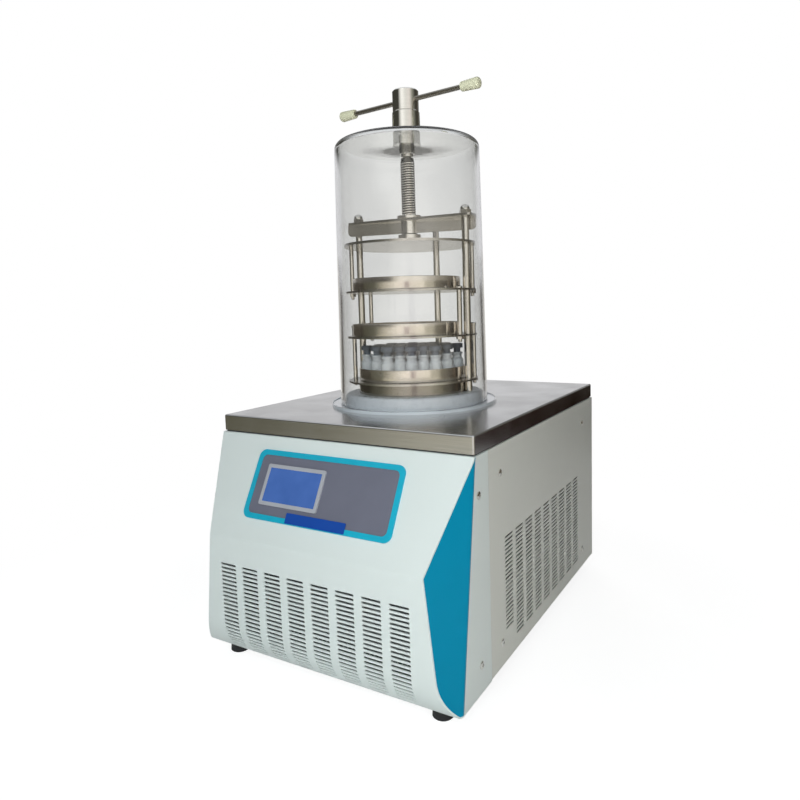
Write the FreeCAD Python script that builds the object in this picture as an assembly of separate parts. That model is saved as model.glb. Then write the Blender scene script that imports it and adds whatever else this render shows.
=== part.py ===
"""Bench-top freeze dryer with a bell jar and a top-press stoppering rack.

Millimetres, +Z up. X runs across the machine, +X to its right as seen from
the front, and the front faces -Y. The origin lies on the bench under the
middle of the machine's outline.
"""
import FreeCAD, Part
import math
import os

V = FreeCAD.Vector

# ---------------------------------------------------------------- cabinet sizes
plate_width = 450.0          # stainless top plate
plate_depth = 542.0
plate_sheet = 1.5
plate_skirt = 25.0           # height of the folded skirt
plate_fold = 2.5             # outer bend radius of the skirt
plate_corner = 3.0
cabinet_height = 352.0       # base sheet to the top of the plate
foot_height = 23.0
foot_radius = 15.0
foot_edge = 1.5
foot_taper = 2.0
foot_stud = 3.0
foot_stud_end = 6.0          # stud above the base sheet
foot_inset_x = 39.0          # foot axis in from the edge of the plate
foot_front = 30.0            # front foot axis ahead of the plate edge
foot_rear = 40.0             # rear foot axis in from the rear of the plate
body_overhang = 1.0          # panels stand out past the plate
shadow_gap = 2.2             # recess between skirt and panels
panel_sheet = 1.2
base_sheet = 1.5
base_rear_fold = 20.0
base_front_fold = 14.0
seam_back = 39.7             # seam of front cover and side panel behind the plate edge
seam_gap = 0.6

# front cover: a sloping face, a vertical face and a lip that curls under
nose_depth = 77.0            # vertical face ahead of the plate edge
slope_lead = 2.0             # top of the slope ahead of the plate edge
crease_drop = 168.0          # crease below the top plate
crease_round = 6.0           # outer bend radius at the crease
lip_height = 54.0            # the lip curls over this height
lip_reach = 55.0             # end of the lip ahead of the plate edge
cover_sheet = 2.0
crease_half_width = 186.5    # the cheeks cut the corners back to here
cheek_foot = 50.8            # lower end of the cheek's outer edge, ahead of the plate edge
cheek_sheet = 2.0
top_return = 1.7             # cover's fold at the top behind the plate edge
side_return = 3.5            # fold at the top of the side sheets
lip_return = 22.0            # cover's fold under the base

# frame
frame_leg = 2.0
frame_width = 20.0
frame_height = 35.5
frame_clearance = 1.0
upright_flange = 12.0
upright_front = (1.0, 80.0)     # span along Y behind the plate edge
upright_rear = 76.0              # width of the rear uprights

# slots
slot_height = 3.2
front_columns = 8
front_pitch = 43.25
front_slot = 30.5
row_pitch_front = 6.35
front_first_drop = 211.5
front_last_rise = 7.0            # lowest row above the base sheet
side_columns = 9
side_pitch = 40.25
side_slot = 29.6
row_pitch_side = 6.2
side_first_drop = 166.5
side_last_rise = 24.0
side_first_back = 92.6
slot_screw_gap = 11.5            # the front column stops above the lower screw
rear_columns = 5
rear_rows = 14
side_slot_height = 2.9

# panel screws
screw_head = 5.5
screw_head_height = 3.0
screw_recess = 5.0           # span of the cross recess
screw_recess_depth = 1.4
screw_slot = 1.1
screw_shank = 1.9
screw_length = 7.0
screw_hole = 2.1
side_screw_back = (77.2, 469.2)
side_screw_drop = 67.0           # upper screws below the top plate
side_screw_rise = 36.0           # lower screws above the base
cover_screw_back = 6.6
cover_screw_drop = 80.0
cover_screw_rise = 38.8
rear_screw_x = 205.0
rear_screw_drop = 60.0
rear_screw_rise = 42.0

# display on the slope, measured from the crease up
display_width = 263.0
display_low = 33.3
display_high = 138.0
display_band = 8.0
display_corner = 12.0
display_border_proud = 2.4
display_panel_proud = 1.5
screen_centre_x = -51.8
screen_width = 108.5
screen_low = 55.1
screen_high = 116.5
screen_bezel = 5.5
screen_proud = 4.0
screen_corner = 3.0
screen_depth = 28.0
screen_fit = 0.3
name_centre_x = 4.3
name_width = 105.5
name_low = 34.6
name_high = 49.6
name_proud = 0.6

# ---------------------------------------------------------------- chamber sizes
jar_back = 228.0             # chamber axis behind the plate edge
gasket_radius = 143.5
gasket_height = 3.0
gasket_bead = 1.6
collar_radius = 118.5
collar_height = 20.5
collar_round = 6.0           # outer edge of its top
collar_edge = 2.0            # edge of its bore
gasket_gap = 1.5             # gasket to collar
pot_step = 2.0               # the collar's bore stands back from the pot's
pot_wall = 1.2
pot_depth = 190.0
pot_rim = 1.5
plate_hole_gap = 3.8         # pot to plate
coil_tube = 4.75
coil_pitch = 15.0
coil_turns = 5.5
coil_drop = 99.0             # top of the coil below the plate
coil_gap = 0.1
foam_gap = 0.4
foam_wall = 31.0
foam_floor = 24.0

jar_foot_radius = 128.0
jar_top_radius = 122.0
jar_height = 437.5
jar_wall = 6.0
jar_crown = 6.0
jar_shoulder = 13.0
jar_inner_fillet = 7.0

bushing_radius = 23.0
bushing_foot = 24.0          # radius where it stands on the jar
bushing_height = 50.0
bushing_stem = 10.5
bushing_stem_end = 4.5       # stem below the jar nut
stem_fit = 0.1
jar_nut_radius = 13.1
jar_nut_height = 13.0
jar_nut_slot = 3.0
shaft_radius = 8.0
shaft_fit = 0.06
hub_radius = 22.0
hub_height = 35.0
hub_gap = 0.4
hub_edge = 2.0
turned_edge = 0.8            # broken edges of the turned pieces
driver_flats = 10.0
driver_fit = 0.3
driver_reach = 60.0          # driver inside the screw
rod_radius = 4.0
rod_drop = 16.5              # cross rod below the top of the hub
rod_half = 130.0
rod_turn = -6.0
rod_fit = 0.1
grip_start = 112.0
grip_length = 33.5
grip_inner = 7.6
grip_outer = 9.0
grip_inner_round = 2.5
grip_outer_round = 5.0

# ---------------------------------------------------------------- rack sizes
rack_turn = 5.7              # crossbar turned from the X axis
post_circle = 101.0
post_radius = 6.0
post_stud = 4.0
post_stud_length = 9.0
post_waist = 4.5             # where the post passes the lower shelf
post_angles = (0.0, 86.3, 180.0)
post_fit = 0.5
seat_width = 11.0            # the collar's bore inside the post circle
rack_ring_inset = 6.0        # outside of the ring inside the post circle
rack_ring_wall = 1.5
rack_ring_height = 19.0
shelf_margin = 11.0          # rim of a shelf outside the post circle
shelf_sheet = 3.0
shelf_pitch = 75.0
disc_pitch = 74.0
disc_sheet = 4.0
tray_inset = 9.0             # wall of a tray inside the post circle
tray_height = 21.0
tray_sheet = 1.2
tray_round = 2.0
tray_shift = {"tray_lower": (0.0, -3.0), "tray_middle": (-2.0, -15.0), "tray_upper": (-2.0, -11.0)}
bar_top = 315.0              # crossbar top above the plate
bar_sheet = 4.0
bar_width = 36.0
bar_margin = 14.0            # end of the bar outside the post circle
bar_corner = 5.0
tongue_width = 29.0
rib_sheet = 5.0
rib_height = 20.0
rib_margin = 14.0            # end of the rib outside the post circle
rib_turn = 7.8               # rib turned from the crossbar so that it passes between the posts
rib_corner = 8.0
screw_radius = 12.5
screw_fit = 0.05
screw_edge = 1.0
screw_top = 415.0            # top of the screw above the plate
nut_wall = 1.5
nut_lip = 7.0                # flange outside the barrel
nut_flange_height = 5.0
nut_barrel_drop = 21.0       # barrel below the crossbar's underside
pad_radius = 20.0
pad_height = 7.0
pad_boss = 13.0
pad_boss_height = 9.0
spigot_radius = 8.0
spigot_length = 12.0
body_gap = 0.3
cap_nut_flats = 17.0
cap_nut_hex = 7.0
cap_nut_height = 16.0
hanger_inset = 6.0           # hanger rods inside the rim of the shelf
hanger_radius = 4.0
hanger_thread = 3.0
hanger_head = 5.2
hanger_head_height = 4.0
hanger_head_edge = 1.5
hanger_nut_flats = 10.5
hanger_nut_height = 4.5
hanger_tip = 5.0
hanger_fit = 0.4
outer_hangers = (28.0, 200.0)     # upper and lower levels
middle_hangers = (167.0, 347.0)
lower_hanger_rise = 14.0          # free length of the lower hangers above the middle shelf

vial_radius = 11.0
vial_height = 42.0
vial_wall = 1.2
vial_body = 29.0             # height of the straight wall
vial_shoulder = 33.0         # height where the neck starts
vial_lip = 4.5
vial_lip_width = 1.6
vial_neck_wall = 1.8
vial_lean = 1.5
vial_pitch = 22.5
vial_mouth = 6.3
stopper_radius = 10.3
stopper_flange = 8.0
stopper_plug = 6.0
stopper_plug_length = 11.0
stopper_hollow = 3.0         # radius of the hollow in the plug
stopper_hollow_depth = 3.0
stopper_stroke = 6.5

# ---------------------------------------------------------------- works inside and at the rear
port_reach = 24.5            # vacuum port behind the rear panel
port_bore = 12.5
port_wall = 1.5
port_drop = 60.0
port_flange = 20.0
port_flange_width = 6.0
port_ring = 22.0
valve_x = 165.0
valve_z = 62.0
valve_radius = 11.0
valve_length = 20.0
nipple_radius = 4.0
nipple_length = 10.0
hose_radius = 7.0
hose_bore = 5.1
drain_stub = 5.0
drain_stub_wall = 1.5
drain_stub_length = 12.0
lever_length = 42.0
board_x = (30.0, 140.0)
board_back = (395.0, 505.0)  # span of the power board behind the plate edge
board_rise = 8.0
board_sheet = 1.6
inlet_x = -150.0
inlet_z = 80.0
switch_x = -150.0
switch_z = 130.0
fan_radius = 78.0
fan_z = 112.0
fan_foam_gap = 1.5           # motor ahead of the trap's jacket
fan_ring_depth = 26.0
fan_motor_radius = 28.0
fan_motor_end = 64.0         # rear of the motor behind the fan's plate
compressor_x = -110.0
compressor_back = 450.0
compressor_radius = 65.0
compressor_z = (40.0, 200.0)
discharge_stub = 20.0        # stubs outside the compressor's shell
discharge_z = 150.0
suction_stub = 12.0
suction_z = 100.0
condenser_half = 138.0
condenser_fan_gap = 4.0      # fins ahead of the fan's plate
condenser_depth = 36.0
condenser_stub = 22.0        # tube ends and bends outside the fins
condenser_head = 120.0       # free height above the top pass, under the skirt
fin_pitch = 8.0
fin_sheet = 0.8
fin_margin = 12.0            # fins past the outer passes
pass_pitch = 25.0
pass_low = 50.0
line_radius = 4.0
line_bend = 14.0             # suction line
thin_bend = 12.0             # discharge and liquid lines
discharge_x = -200.0
drier_x = -187.0
drier_radius = 10.0
drier_span = (110.0, 190.0)  # drier behind the condenser's middle

# ---------------------------------------------------------------- places worked out from the sizes
half_body = plate_width / 2 + body_overhang
total_depth = nose_depth + plate_depth + body_overhang + port_reach
plate_front = -total_depth / 2 + nose_depth
plate_rear = plate_front + plate_depth
rear_face = plate_rear + body_overhang
base_z = foot_height
plate_top = foot_height + cabinet_height
skirt_z = plate_top - plate_skirt
panel_top = skirt_z - shadow_gap
floor_z = base_z + base_sheet
seam = plate_front + seam_back
axis_y = plate_front + jar_back
inner_panel = half_body - panel_sheet

lip_z = base_z - cover_sheet
straight_z = lip_z + lip_height
lip_turn = 2 * math.atan2(nose_depth - lip_reach, lip_height)
lip_radius = lip_height / math.sin(lip_turn)
slope_run = nose_depth - slope_lead
slope_fall = crease_drop - (plate_top - panel_top)
slope_length = math.hypot(slope_run, slope_fall)

collar_bore = post_circle - seat_width
pot_bore = collar_bore - pot_step
plate_hole = pot_bore + pot_wall + plate_hole_gap
rack_ring_radius = post_circle - rack_ring_inset
tray_radius = post_circle - tray_inset
shelf_radius = post_circle + shelf_margin
hanger_circle = shelf_radius - hanger_inset
nut_barrel = screw_radius + nut_wall
nut_flange = nut_barrel + nut_lip
collar_top = plate_top + pot_rim + collar_height
jar_foot = plate_top + gasket_height
jar_top = jar_foot + jar_height
ceiling = jar_top - jar_crown
stem_z = ceiling - jar_nut_height - bushing_stem_end
shelf_lower_z = collar_top + rack_ring_height + shelf_sheet
shelf_middle_z = shelf_lower_z + shelf_pitch
shelf_upper_z = shelf_middle_z + shelf_pitch
disc_z = shelf_upper_z + disc_pitch
bar_z = plate_top + bar_top - bar_sheet
screw_top_z = plate_top + screw_top
pad_z = disc_z + disc_sheet
pot_floor = plate_top + pot_rim - pot_depth
foam_bore = pot_bore + pot_wall + 2 * coil_tube + coil_gap + foam_gap
foam_radius = foam_bore + foam_wall
fan_y = axis_y - foam_radius - fan_foam_gap - fan_motor_end
condenser_y = fan_y - condenser_fan_gap - condenser_depth / 2
coil_radius = pot_bore + pot_wall + coil_gap + coil_tube
coil_low = plate_top - coil_drop - coil_pitch * coil_turns
port_z = plate_top - port_drop


# ---------------------------------------------------------------- helpers
def box(x0, x1, y0, y1, z0, z1):
    """Box between two corners."""
    return Part.makeBox(x1 - x0, y1 - y0, z1 - z0, V(x0, y0, z0))


def rod(radius, z0, z1, x=0.0, y=0.0):
    """Upright cylinder."""
    return Part.makeCylinder(radius, z1 - z0, V(x, y, z0))


def rod_y(radius, y0, y1, x, z):
    """Cylinder along +Y."""
    return Part.makeCylinder(radius, y1 - y0, V(x, y0, z), V(0, 1, 0))


def rod_x(radius, x0, x1, y, z):
    """Cylinder along +X."""
    return Part.makeCylinder(radius, x1 - x0, V(x0, y, z), V(1, 0, 0))


def turned(points, x=0.0, y=0.0):
    """Solid of revolution about an upright axis from (radius, height) points."""
    wire = Part.makePolygon([V(x + r, y, z) for r, z in points + points[:1]])
    return Part.Face(wire).revolve(V(x, y, 0), V(0, 0, 1), 360)


def hexagon(flats, z0, z1, x=0.0, y=0.0, turn=0.0):
    """Upright hexagonal prism."""
    r = flats / math.sqrt(3)
    angles = [math.radians(60 * i + turn) for i in range(7)]
    corners = [V(x + r * math.cos(a), y + r * math.sin(a), z0) for a in angles]
    return Part.Face(Part.makePolygon(corners)).extrude(V(0, 0, z1 - z0))


def circles(shape, radius):
    """Circular edges of a shape with the given radius."""
    found = [e for e in shape.Edges if e.Curve.TypeId == "Part::GeomCircle"]
    return [e for e in found if abs(e.Curve.Radius - radius) < 0.01]


def rims(shape, radius, z):
    """Flat circular edges of a shape with the given radius and height."""
    flat = [e for e in circles(shape, radius) if e.BoundBox.ZLength < 0.01]
    return [e for e in flat if abs(e.BoundBox.ZMin - z) < 0.01]


def polar(radius, degrees):
    """Point on a circle round the chamber axis."""
    a = math.radians(degrees)
    return radius * math.cos(a), axis_y + radius * math.sin(a)


def rounded_rect(width, height, corner, depth, cx=0.0, cy=0.0, z=0.0):
    """Flat plate with rounded corners, lying in XY."""
    solid = Part.makeBox(width, height, depth, V(cx - width / 2, cy - height / 2, z))
    upright = [e for e in solid.Edges if abs(e.Vertexes[0].Z - e.Vertexes[1].Z) > depth / 2]
    return solid.makeFillet(corner, upright)


def on_axis(shape, turn=0.0):
    """Turn a shape made about the origin and move it to the chamber axis."""
    shape.rotate(V(0, 0, 0), V(0, 0, 1), turn)
    shape.translate(V(0, axis_y, 0))
    return shape


def pipe(points, radius, bend, bore=0.0):
    """Round tube along straight runs joined by tangent arcs."""
    corners = [V(*p) for p in points]
    edges = []
    start = corners[0]
    for before, corner, after in zip(corners, corners[1:], corners[2:]):
        a = (before - corner).normalize()
        b = (after - corner).normalize()
        half = (math.pi - a.getAngle(b)) / 2
        reach = bend * math.tan(half)
        first, last = corner + a * reach, corner + b * reach
        middle = (a + b).normalize()
        crown = corner + middle * (bend / math.cos(half) - bend)
        edges += [Part.LineSegment(start, first).toShape(), Part.Arc(first, crown, last).toShape()]
        start = last
    edges.append(Part.LineSegment(start, corners[-1]).toShape())
    path = Part.Wire(edges)
    heading = (corners[1] - corners[0]).normalize()

    def swept(r):
        ring = Part.Wire([Part.Circle(corners[0], heading, r).toShape()])
        return path.makePipeShell([ring], True, True)

    return swept(radius).cut(swept(bore)) if bore else swept(radius)


def slot_prism(width, height, depth):
    """Round-ended slot through a sheet, centred on the origin, along X, cutting along Y."""
    half = (width - height) / 2
    r = height / 2
    y = -depth / 2
    wire = Part.Wire([
        Part.LineSegment(V(-half, y, r), V(half, y, r)).toShape(),
        Part.Arc(V(half, y, r), V(half + r, y, 0), V(half, y, -r)).toShape(),
        Part.LineSegment(V(half, y, -r), V(-half, y, -r)).toShape(),
        Part.Arc(V(-half, y, -r), V(-half - r, y, 0), V(-half, y, r)).toShape()])
    return Part.Face(wire).extrude(V(0, depth, 0))


def mirrored(shape):
    """Copy of a shape on the other side of the YZ plane."""
    return shape.mirror(V(0, 0, 0), V(1, 0, 0))


# ---------------------------------------------------------------- cabinet
def nose_points(inset):
    """Corners of the front cover's section, moved inwards by inset: (y, z) from top to lip."""
    lean = slope_run / slope_fall
    y0 = plate_front - slope_lead + inset * slope_length / slope_fall
    y1 = plate_front - nose_depth + inset
    crease = panel_top - (y0 - y1) / lean
    bend = math.atan(lean)
    r = crease_round - inset
    tangent = r * math.tan(bend / 2)
    low = crease - tangent
    fold = [(y1 + r * (1 - math.cos(a)), low + r * math.sin(a)) for a in (bend, bend / 2, 0)]
    centre_y = plate_front - nose_depth + lip_radius
    r = lip_radius - inset
    lip = [(centre_y - r * math.cos(a), straight_z - r * math.sin(a)) for a in (0, lip_turn / 2, lip_turn)]
    return [(y0, panel_top)] + fold + lip


def nose_wire(inset, x, y_back):
    """Closed section of everything behind the front cover's face."""
    top, fold_a, fold_b, fold_c, straight, middle, end = [V(x, y, z) for y, z in nose_points(inset)]
    back_low, back_top = V(x, y_back, end.z), V(x, y_back, panel_top)
    edges = [Part.LineSegment(top, fold_a), Part.Arc(fold_a, fold_b, fold_c),
             Part.LineSegment(fold_c, straight), Part.Arc(straight, middle, end),
             Part.LineSegment(end, back_low), Part.LineSegment(back_low, back_top),
             Part.LineSegment(back_top, top)]
    return Part.Wire([e.toShape() for e in edges])


def cheek_blocks(inset):
    """The two blocks outside the slanted cheek planes, moved inwards by inset."""
    top = V(half_body, plate_front - slope_lead, panel_top)
    foot = V(half_body, plate_front - cheek_foot, base_z)
    crease = V(crease_half_width, plate_front - nose_depth, plate_top - crease_drop)
    normal = (foot - top).cross(crease - top).normalize()
    if normal.x < 0:
        normal = normal * -1
    block = Part.makeBox(800, 800, 200, V(-400, -400, 0))
    block.Placement = FreeCAD.Placement(top - normal * inset, FreeCAD.Rotation(V(0, 0, 1), normal))
    return [block, mirrored(block)]


def cover_screws():
    """Heads of the screws in the sides: (y, z) behind the seam and on the front cover."""
    sides = [(plate_front + back, z) for back in side_screw_back
             for z in (plate_top - side_screw_drop, base_z + side_screw_rise)]
    y = plate_front + cover_screw_back
    return sides + [(y, plate_top - cover_screw_drop), (y, base_z + cover_screw_rise)]


def screw_holes(radius):
    """Drills for all the side screws."""
    return [rod_x(radius, -half_body - 5, half_body + 5, y, z) for y, z in cover_screws()]


def front_shell():
    """Front cover with its side strips, and the two blue cheeks."""
    width = 2 * half_body
    whole = Part.Face(nose_wire(0, -half_body, seam)).extrude(V(width, 0, 0)).cut(cheek_blocks(0))
    hollow = Part.Face(nose_wire(cover_sheet, -half_body, seam)).extrude(V(width, 0, 0))
    face = whole.cut(hollow)
    rest = whole.common(hollow)
    inner = box(-inner_panel, inner_panel, plate_front - 200, seam + 1, 0, plate_top)
    behind_cheeks = rest.cut(cheek_blocks(cheek_sheet))
    cheeks = rest.cut(behind_cheeks)
    keep = box(-half_body - 1, half_body + 1, plate_front - 200, seam + 1, base_z, plate_top)
    strips = behind_cheeks.cut(inner).common(keep)
    lid = behind_cheeks.common(box(-half_body, half_body, plate_front - nose_depth, plate_front + top_return,
                                   panel_top - cover_sheet, panel_top))
    lid = lid.fuse([box(s * half_body - (s > 0) * side_return, s * half_body + (s < 0) * side_return,
                        plate_front, seam, panel_top - panel_sheet, panel_top) for s in (-1, 1)])
    lip_y = nose_points(0)[-1][0]
    lip = behind_cheeks.common(box(-half_body, half_body, lip_y, lip_y + lip_return, lip_z, base_z))
    cover = face.fuse([strips, lid, lip]).removeSplitter()
    cover = cover.cut(screw_holes(screw_hole))
    cover = cover.cut([rod(foot_radius + 0.5, 0, base_z, x, y) for x, y in feet_places()])
    cheeks = cheeks.common(keep)
    left = cheeks.common(box(-half_body - 1, 0, plate_front - 200, seam, 0, plate_top))
    right = cheeks.common(box(0, half_body + 1, plate_front - 200, seam, 0, plate_top))
    return cover.cut(front_slots()).cut(screen_window()), left, right


def slot_rows(first, last, pitch):
    """Number of rows from the first height down to the last that fits."""
    return int((first - last) / pitch) + 1


def front_slots():
    """Slots of the front cover, following its section round the lip."""
    cutters = []
    centre_y = plate_front - nose_depth + lip_radius
    first = plate_top - front_first_drop
    for row in range(slot_rows(first, base_z + front_last_rise, row_pitch_front)):
        z = first - row * row_pitch_front
        prism = slot_prism(front_slot, slot_height, 6 * cover_sheet)
        if z > straight_z:
            prism.translate(V(0, plate_front - nose_depth, z))
        else:
            turn = (straight_z - z) / lip_radius
            prism.rotate(V(0, 0, 0), V(1, 0, 0), math.degrees(turn))
            prism.translate(V(0, centre_y - lip_radius * math.cos(turn),
                              straight_z - lip_radius * math.sin(turn)))
        for column in range(front_columns):
            copy = prism.copy()
            copy.translate(V((column - (front_columns - 1) / 2) * front_pitch, 0, 0))
            cutters.append(copy)
    return Part.makeCompound(cutters)


def side_panel():
    """Right side panel with its slots, screw holes and top fold."""
    sheet = box(inner_panel, half_body, seam + seam_gap, rear_face, base_z, panel_top)
    fold = box(half_body - side_return, half_body, seam + seam_gap, rear_face - panel_sheet - seam_gap,
               panel_top - panel_sheet, panel_top)
    cutters = []
    slot = slot_prism(side_slot, side_slot_height, 4 * panel_sheet)
    slot.rotate(V(0, 0, 0), V(0, 0, 1), 90)
    first = plate_top - side_first_drop
    slot.translate(V(half_body - panel_sheet / 2, plate_front + side_first_back + side_slot / 2, first))
    last = base_z + side_last_rise
    last_of_front = base_z + side_screw_rise + slot_screw_gap
    for column in range(side_columns):
        for row in range(slot_rows(first, last_of_front if column == 0 else last, row_pitch_side)):
            copy = slot.copy()
            copy.translate(V(0, column * side_pitch, -row * row_pitch_side))
            cutters.append(copy)
    panel = sheet.fuse(fold).removeSplitter().cut(Part.makeCompound(cutters))
    return panel.cut(screw_holes(screw_hole))


def rear_screws():
    """Places of the rear panel's screws: (x, z)."""
    high, low = plate_top - rear_screw_drop, base_z + rear_screw_rise
    return [(s * rear_screw_x, z) for s in (-1, 1) for z in (high, (high + low) / 2, low)]


def rear_panel():
    """Rear panel with its outlets."""
    y0 = rear_face - panel_sheet
    sheet = box(-inner_panel, inner_panel, y0, rear_face, base_z, panel_top)
    cutters = []
    for column in range(rear_columns):
        for row in range(rear_rows):
            slot = slot_prism(side_slot, side_slot_height, 4 * panel_sheet)
            slot.translate(V((column - (rear_columns - 1) / 2) * side_pitch, y0 + panel_sheet / 2,
                             plate_top - side_first_drop - row * row_pitch_side))
            cutters.append(slot)
    cutters += [rod_y(screw_hole, y0 - 5, rear_face + 5, x, z) for x, z in rear_screws()]
    cutters.append(rod_y(port_bore + port_wall + body_gap, y0 - 5, rear_face + 5, 0, port_z))
    cutters.append(rod_y(hose_radius + body_gap, y0 - 5, rear_face + 5, valve_x, valve_z))
    cutters.append(box(inlet_x - 14, inlet_x + 14, y0 - 5, rear_face + 5, inlet_z - 10.5, inlet_z + 10.5))
    cutters.append(box(switch_x - 8, switch_x + 8, y0 - 5, rear_face + 5, switch_z - 12, switch_z + 12))
    return sheet.cut(cutters)


def feet_places():
    """Axes of the four feet: (x, y)."""
    x = plate_width / 2 - foot_inset_x
    return [(s * x, y) for s in (-1, 1) for y in (plate_front - foot_front, plate_rear - foot_rear)]


def feet():
    """Four rubber feet with moulded-in studs."""
    made = []
    for x, y in feet_places():
        made.append(turned([(0, 0), (foot_radius - foot_edge, 0), (foot_radius, foot_edge),
                            (foot_radius - foot_taper, base_z), (foot_stud, base_z),
                            (foot_stud, floor_z + foot_stud_end), (0, floor_z + foot_stud_end)], x, y))
    return Part.makeCompound(made)


def base_pan():
    """Floor sheet with folded edges front and rear, cut to the cheeks."""
    front = nose_points(cover_sheet)[-1][0] + 4
    sheet = box(-inner_panel, inner_panel, front, rear_face - panel_sheet, base_z, floor_z)
    fold_x = inner_panel - upright_flange - body_gap
    inside = rear_face - panel_sheet
    fold = box(-fold_x, fold_x, inside - base_sheet, inside, base_z, base_z + base_rear_fold)
    rise_x = inner_panel - base_rear_fold
    rise = box(-rise_x, rise_x, front, front + base_sheet, base_z, base_z + base_front_fold)
    pan = sheet.fuse([fold, rise]).removeSplitter().cut(cheek_blocks(cheek_sheet + body_gap))
    pan = pan.cut([rod(foot_stud + 0.1, 0, 2 * base_z, x, y) for x, y in feet_places()])
    pan = pan.cut([rod_y(hose_radius + body_gap, rear_face - 20, rear_face + 5, valve_x, valve_z)])
    return pan.cut([rod_y(screw_hole, rear_face - 12, rear_face + 5, x, z) for x, z in rear_screws()])


def frame():
    """Welded frame: a top ring of channel on four folded uprights."""
    half = plate_width / 2 - plate_sheet - frame_clearance
    y0, y1 = plate_front + plate_sheet + frame_clearance, plate_rear - plate_sheet - frame_clearance
    z1 = plate_top - plate_sheet
    z0 = z1 - frame_height

    def ring(inset, low, high):
        return box(-half + inset, half - inset, y0 + inset, y1 - inset, low, high)

    hollow = ring(frame_leg, z0 + frame_leg, z1 - frame_leg)
    channel = ring(0, z0, z1).cut([hollow, ring(frame_width, z0, z1)])
    spans = [(plate_front + upright_front[0], plate_front + upright_front[1]),
             (rear_face - panel_sheet - upright_rear, rear_face - panel_sheet)]
    parts = []
    for a, b in spans:
        outer = box(inner_panel - upright_flange, inner_panel, a, b, floor_z, z0)
        upright = outer.cut(box(inner_panel - upright_flange - 1, inner_panel - frame_leg, a + frame_leg,
                                b - frame_leg, floor_z - 1, z0 + 1))
        parts += [upright, mirrored(upright)]
    rear_tab = box(rear_screw_x - upright_flange, inner_panel - upright_flange,
                   rear_face - panel_sheet - frame_leg, rear_face - panel_sheet, floor_z + base_rear_fold, z0)
    parts += [rear_tab, mirrored(rear_tab)]
    welded = channel.fuse(parts).removeSplitter().cut(screw_holes(screw_hole))
    return welded.cut([rod_y(screw_hole, rear_face - 12, rear_face + 5, x, z) for x, z in rear_screws()])


def top_plate():
    """Stainless plate with a folded skirt and the chamber hole."""
    x, y0, y1 = plate_width / 2, plate_front, plate_rear
    outer = box(-x, x, y0, y1, skirt_z, plate_top)
    corners = [e for e in outer.Edges if abs(e.Vertexes[0].Z - e.Vertexes[1].Z) > 1]
    outer = outer.makeFillet(plate_corner, corners)
    rim = [e for e in outer.Edges if all(abs(v.Z - plate_top) < 0.01 for v in e.Vertexes)]
    outer = outer.makeFillet(plate_fold, rim)
    t = plate_sheet
    inner = box(-x + t, x - t, y0 + t, y1 - t, skirt_z - 1, plate_top - t)
    corners = [e for e in inner.Edges if abs(e.Vertexes[0].Z - e.Vertexes[1].Z) > 1]
    inner = inner.makeFillet(plate_corner - t, corners)
    rim = [e for e in inner.Edges if all(abs(v.Z - plate_top + t) < 0.01 for v in e.Vertexes)]
    inner = inner.makeFillet(plate_fold - t, rim)
    return outer.cut([inner, rod(plate_hole, skirt_z, plate_top + 1, 0, axis_y)])


def panel_screw():
    """Pan-head cross-recess screw, head outwards along +X, seat at the origin."""
    dome = Part.makeSphere(screw_head * 1.9, V(-screw_head * 1.9 + screw_head_height, 0, 0))
    head = Part.makeCylinder(screw_head, screw_head_height, V(0, 0, 0), V(1, 0, 0)).common(dome)
    shank = Part.makeCylinder(screw_shank, screw_length, V(-screw_length, 0, 0), V(1, 0, 0))
    reach, half = screw_recess / 2, screw_slot / 2
    low, high = screw_head_height - screw_recess_depth, screw_head_height + 1
    cross = [box(low, high, -reach, reach, -half, half), box(low, high, -half, half, -reach, reach)]
    return head.fuse(shank).cut(cross)


def panel_screws():
    """All the screws of the side and rear panels."""
    made = []
    for y, z in cover_screws():
        screw = panel_screw()
        screw.translate(V(half_body, y, z))
        made += [screw, mirrored(screw)]
    for x, z in rear_screws():
        screw = panel_screw()
        screw.rotate(V(0, 0, 0), V(0, 0, 1), 90)
        screw.translate(V(x, rear_face, z))
        made.append(screw)
    return Part.makeCompound(made)


# ---------------------------------------------------------------- display
def on_slope(shape):
    """Lay a shape made in XY, up along +Y and out along +Z, on the sloping face, from the crease up."""
    lean = math.degrees(math.atan2(slope_fall, slope_run))
    shape.rotate(V(0, 0, 0), V(1, 0, 0), lean)
    shape.translate(V(0, plate_front - nose_depth, plate_top - crease_drop))
    return shape


def screen_window():
    """Cut-out of the sloping face behind the touch screen."""
    low, high = screen_low + screen_bezel, screen_high - screen_bezel
    width = screen_width - 2 * screen_bezel + 2 * screen_fit
    return on_slope(box(screen_centre_x - width / 2, screen_centre_x + width / 2, low - screen_fit,
                        high + screen_fit, -10, 10))


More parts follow.
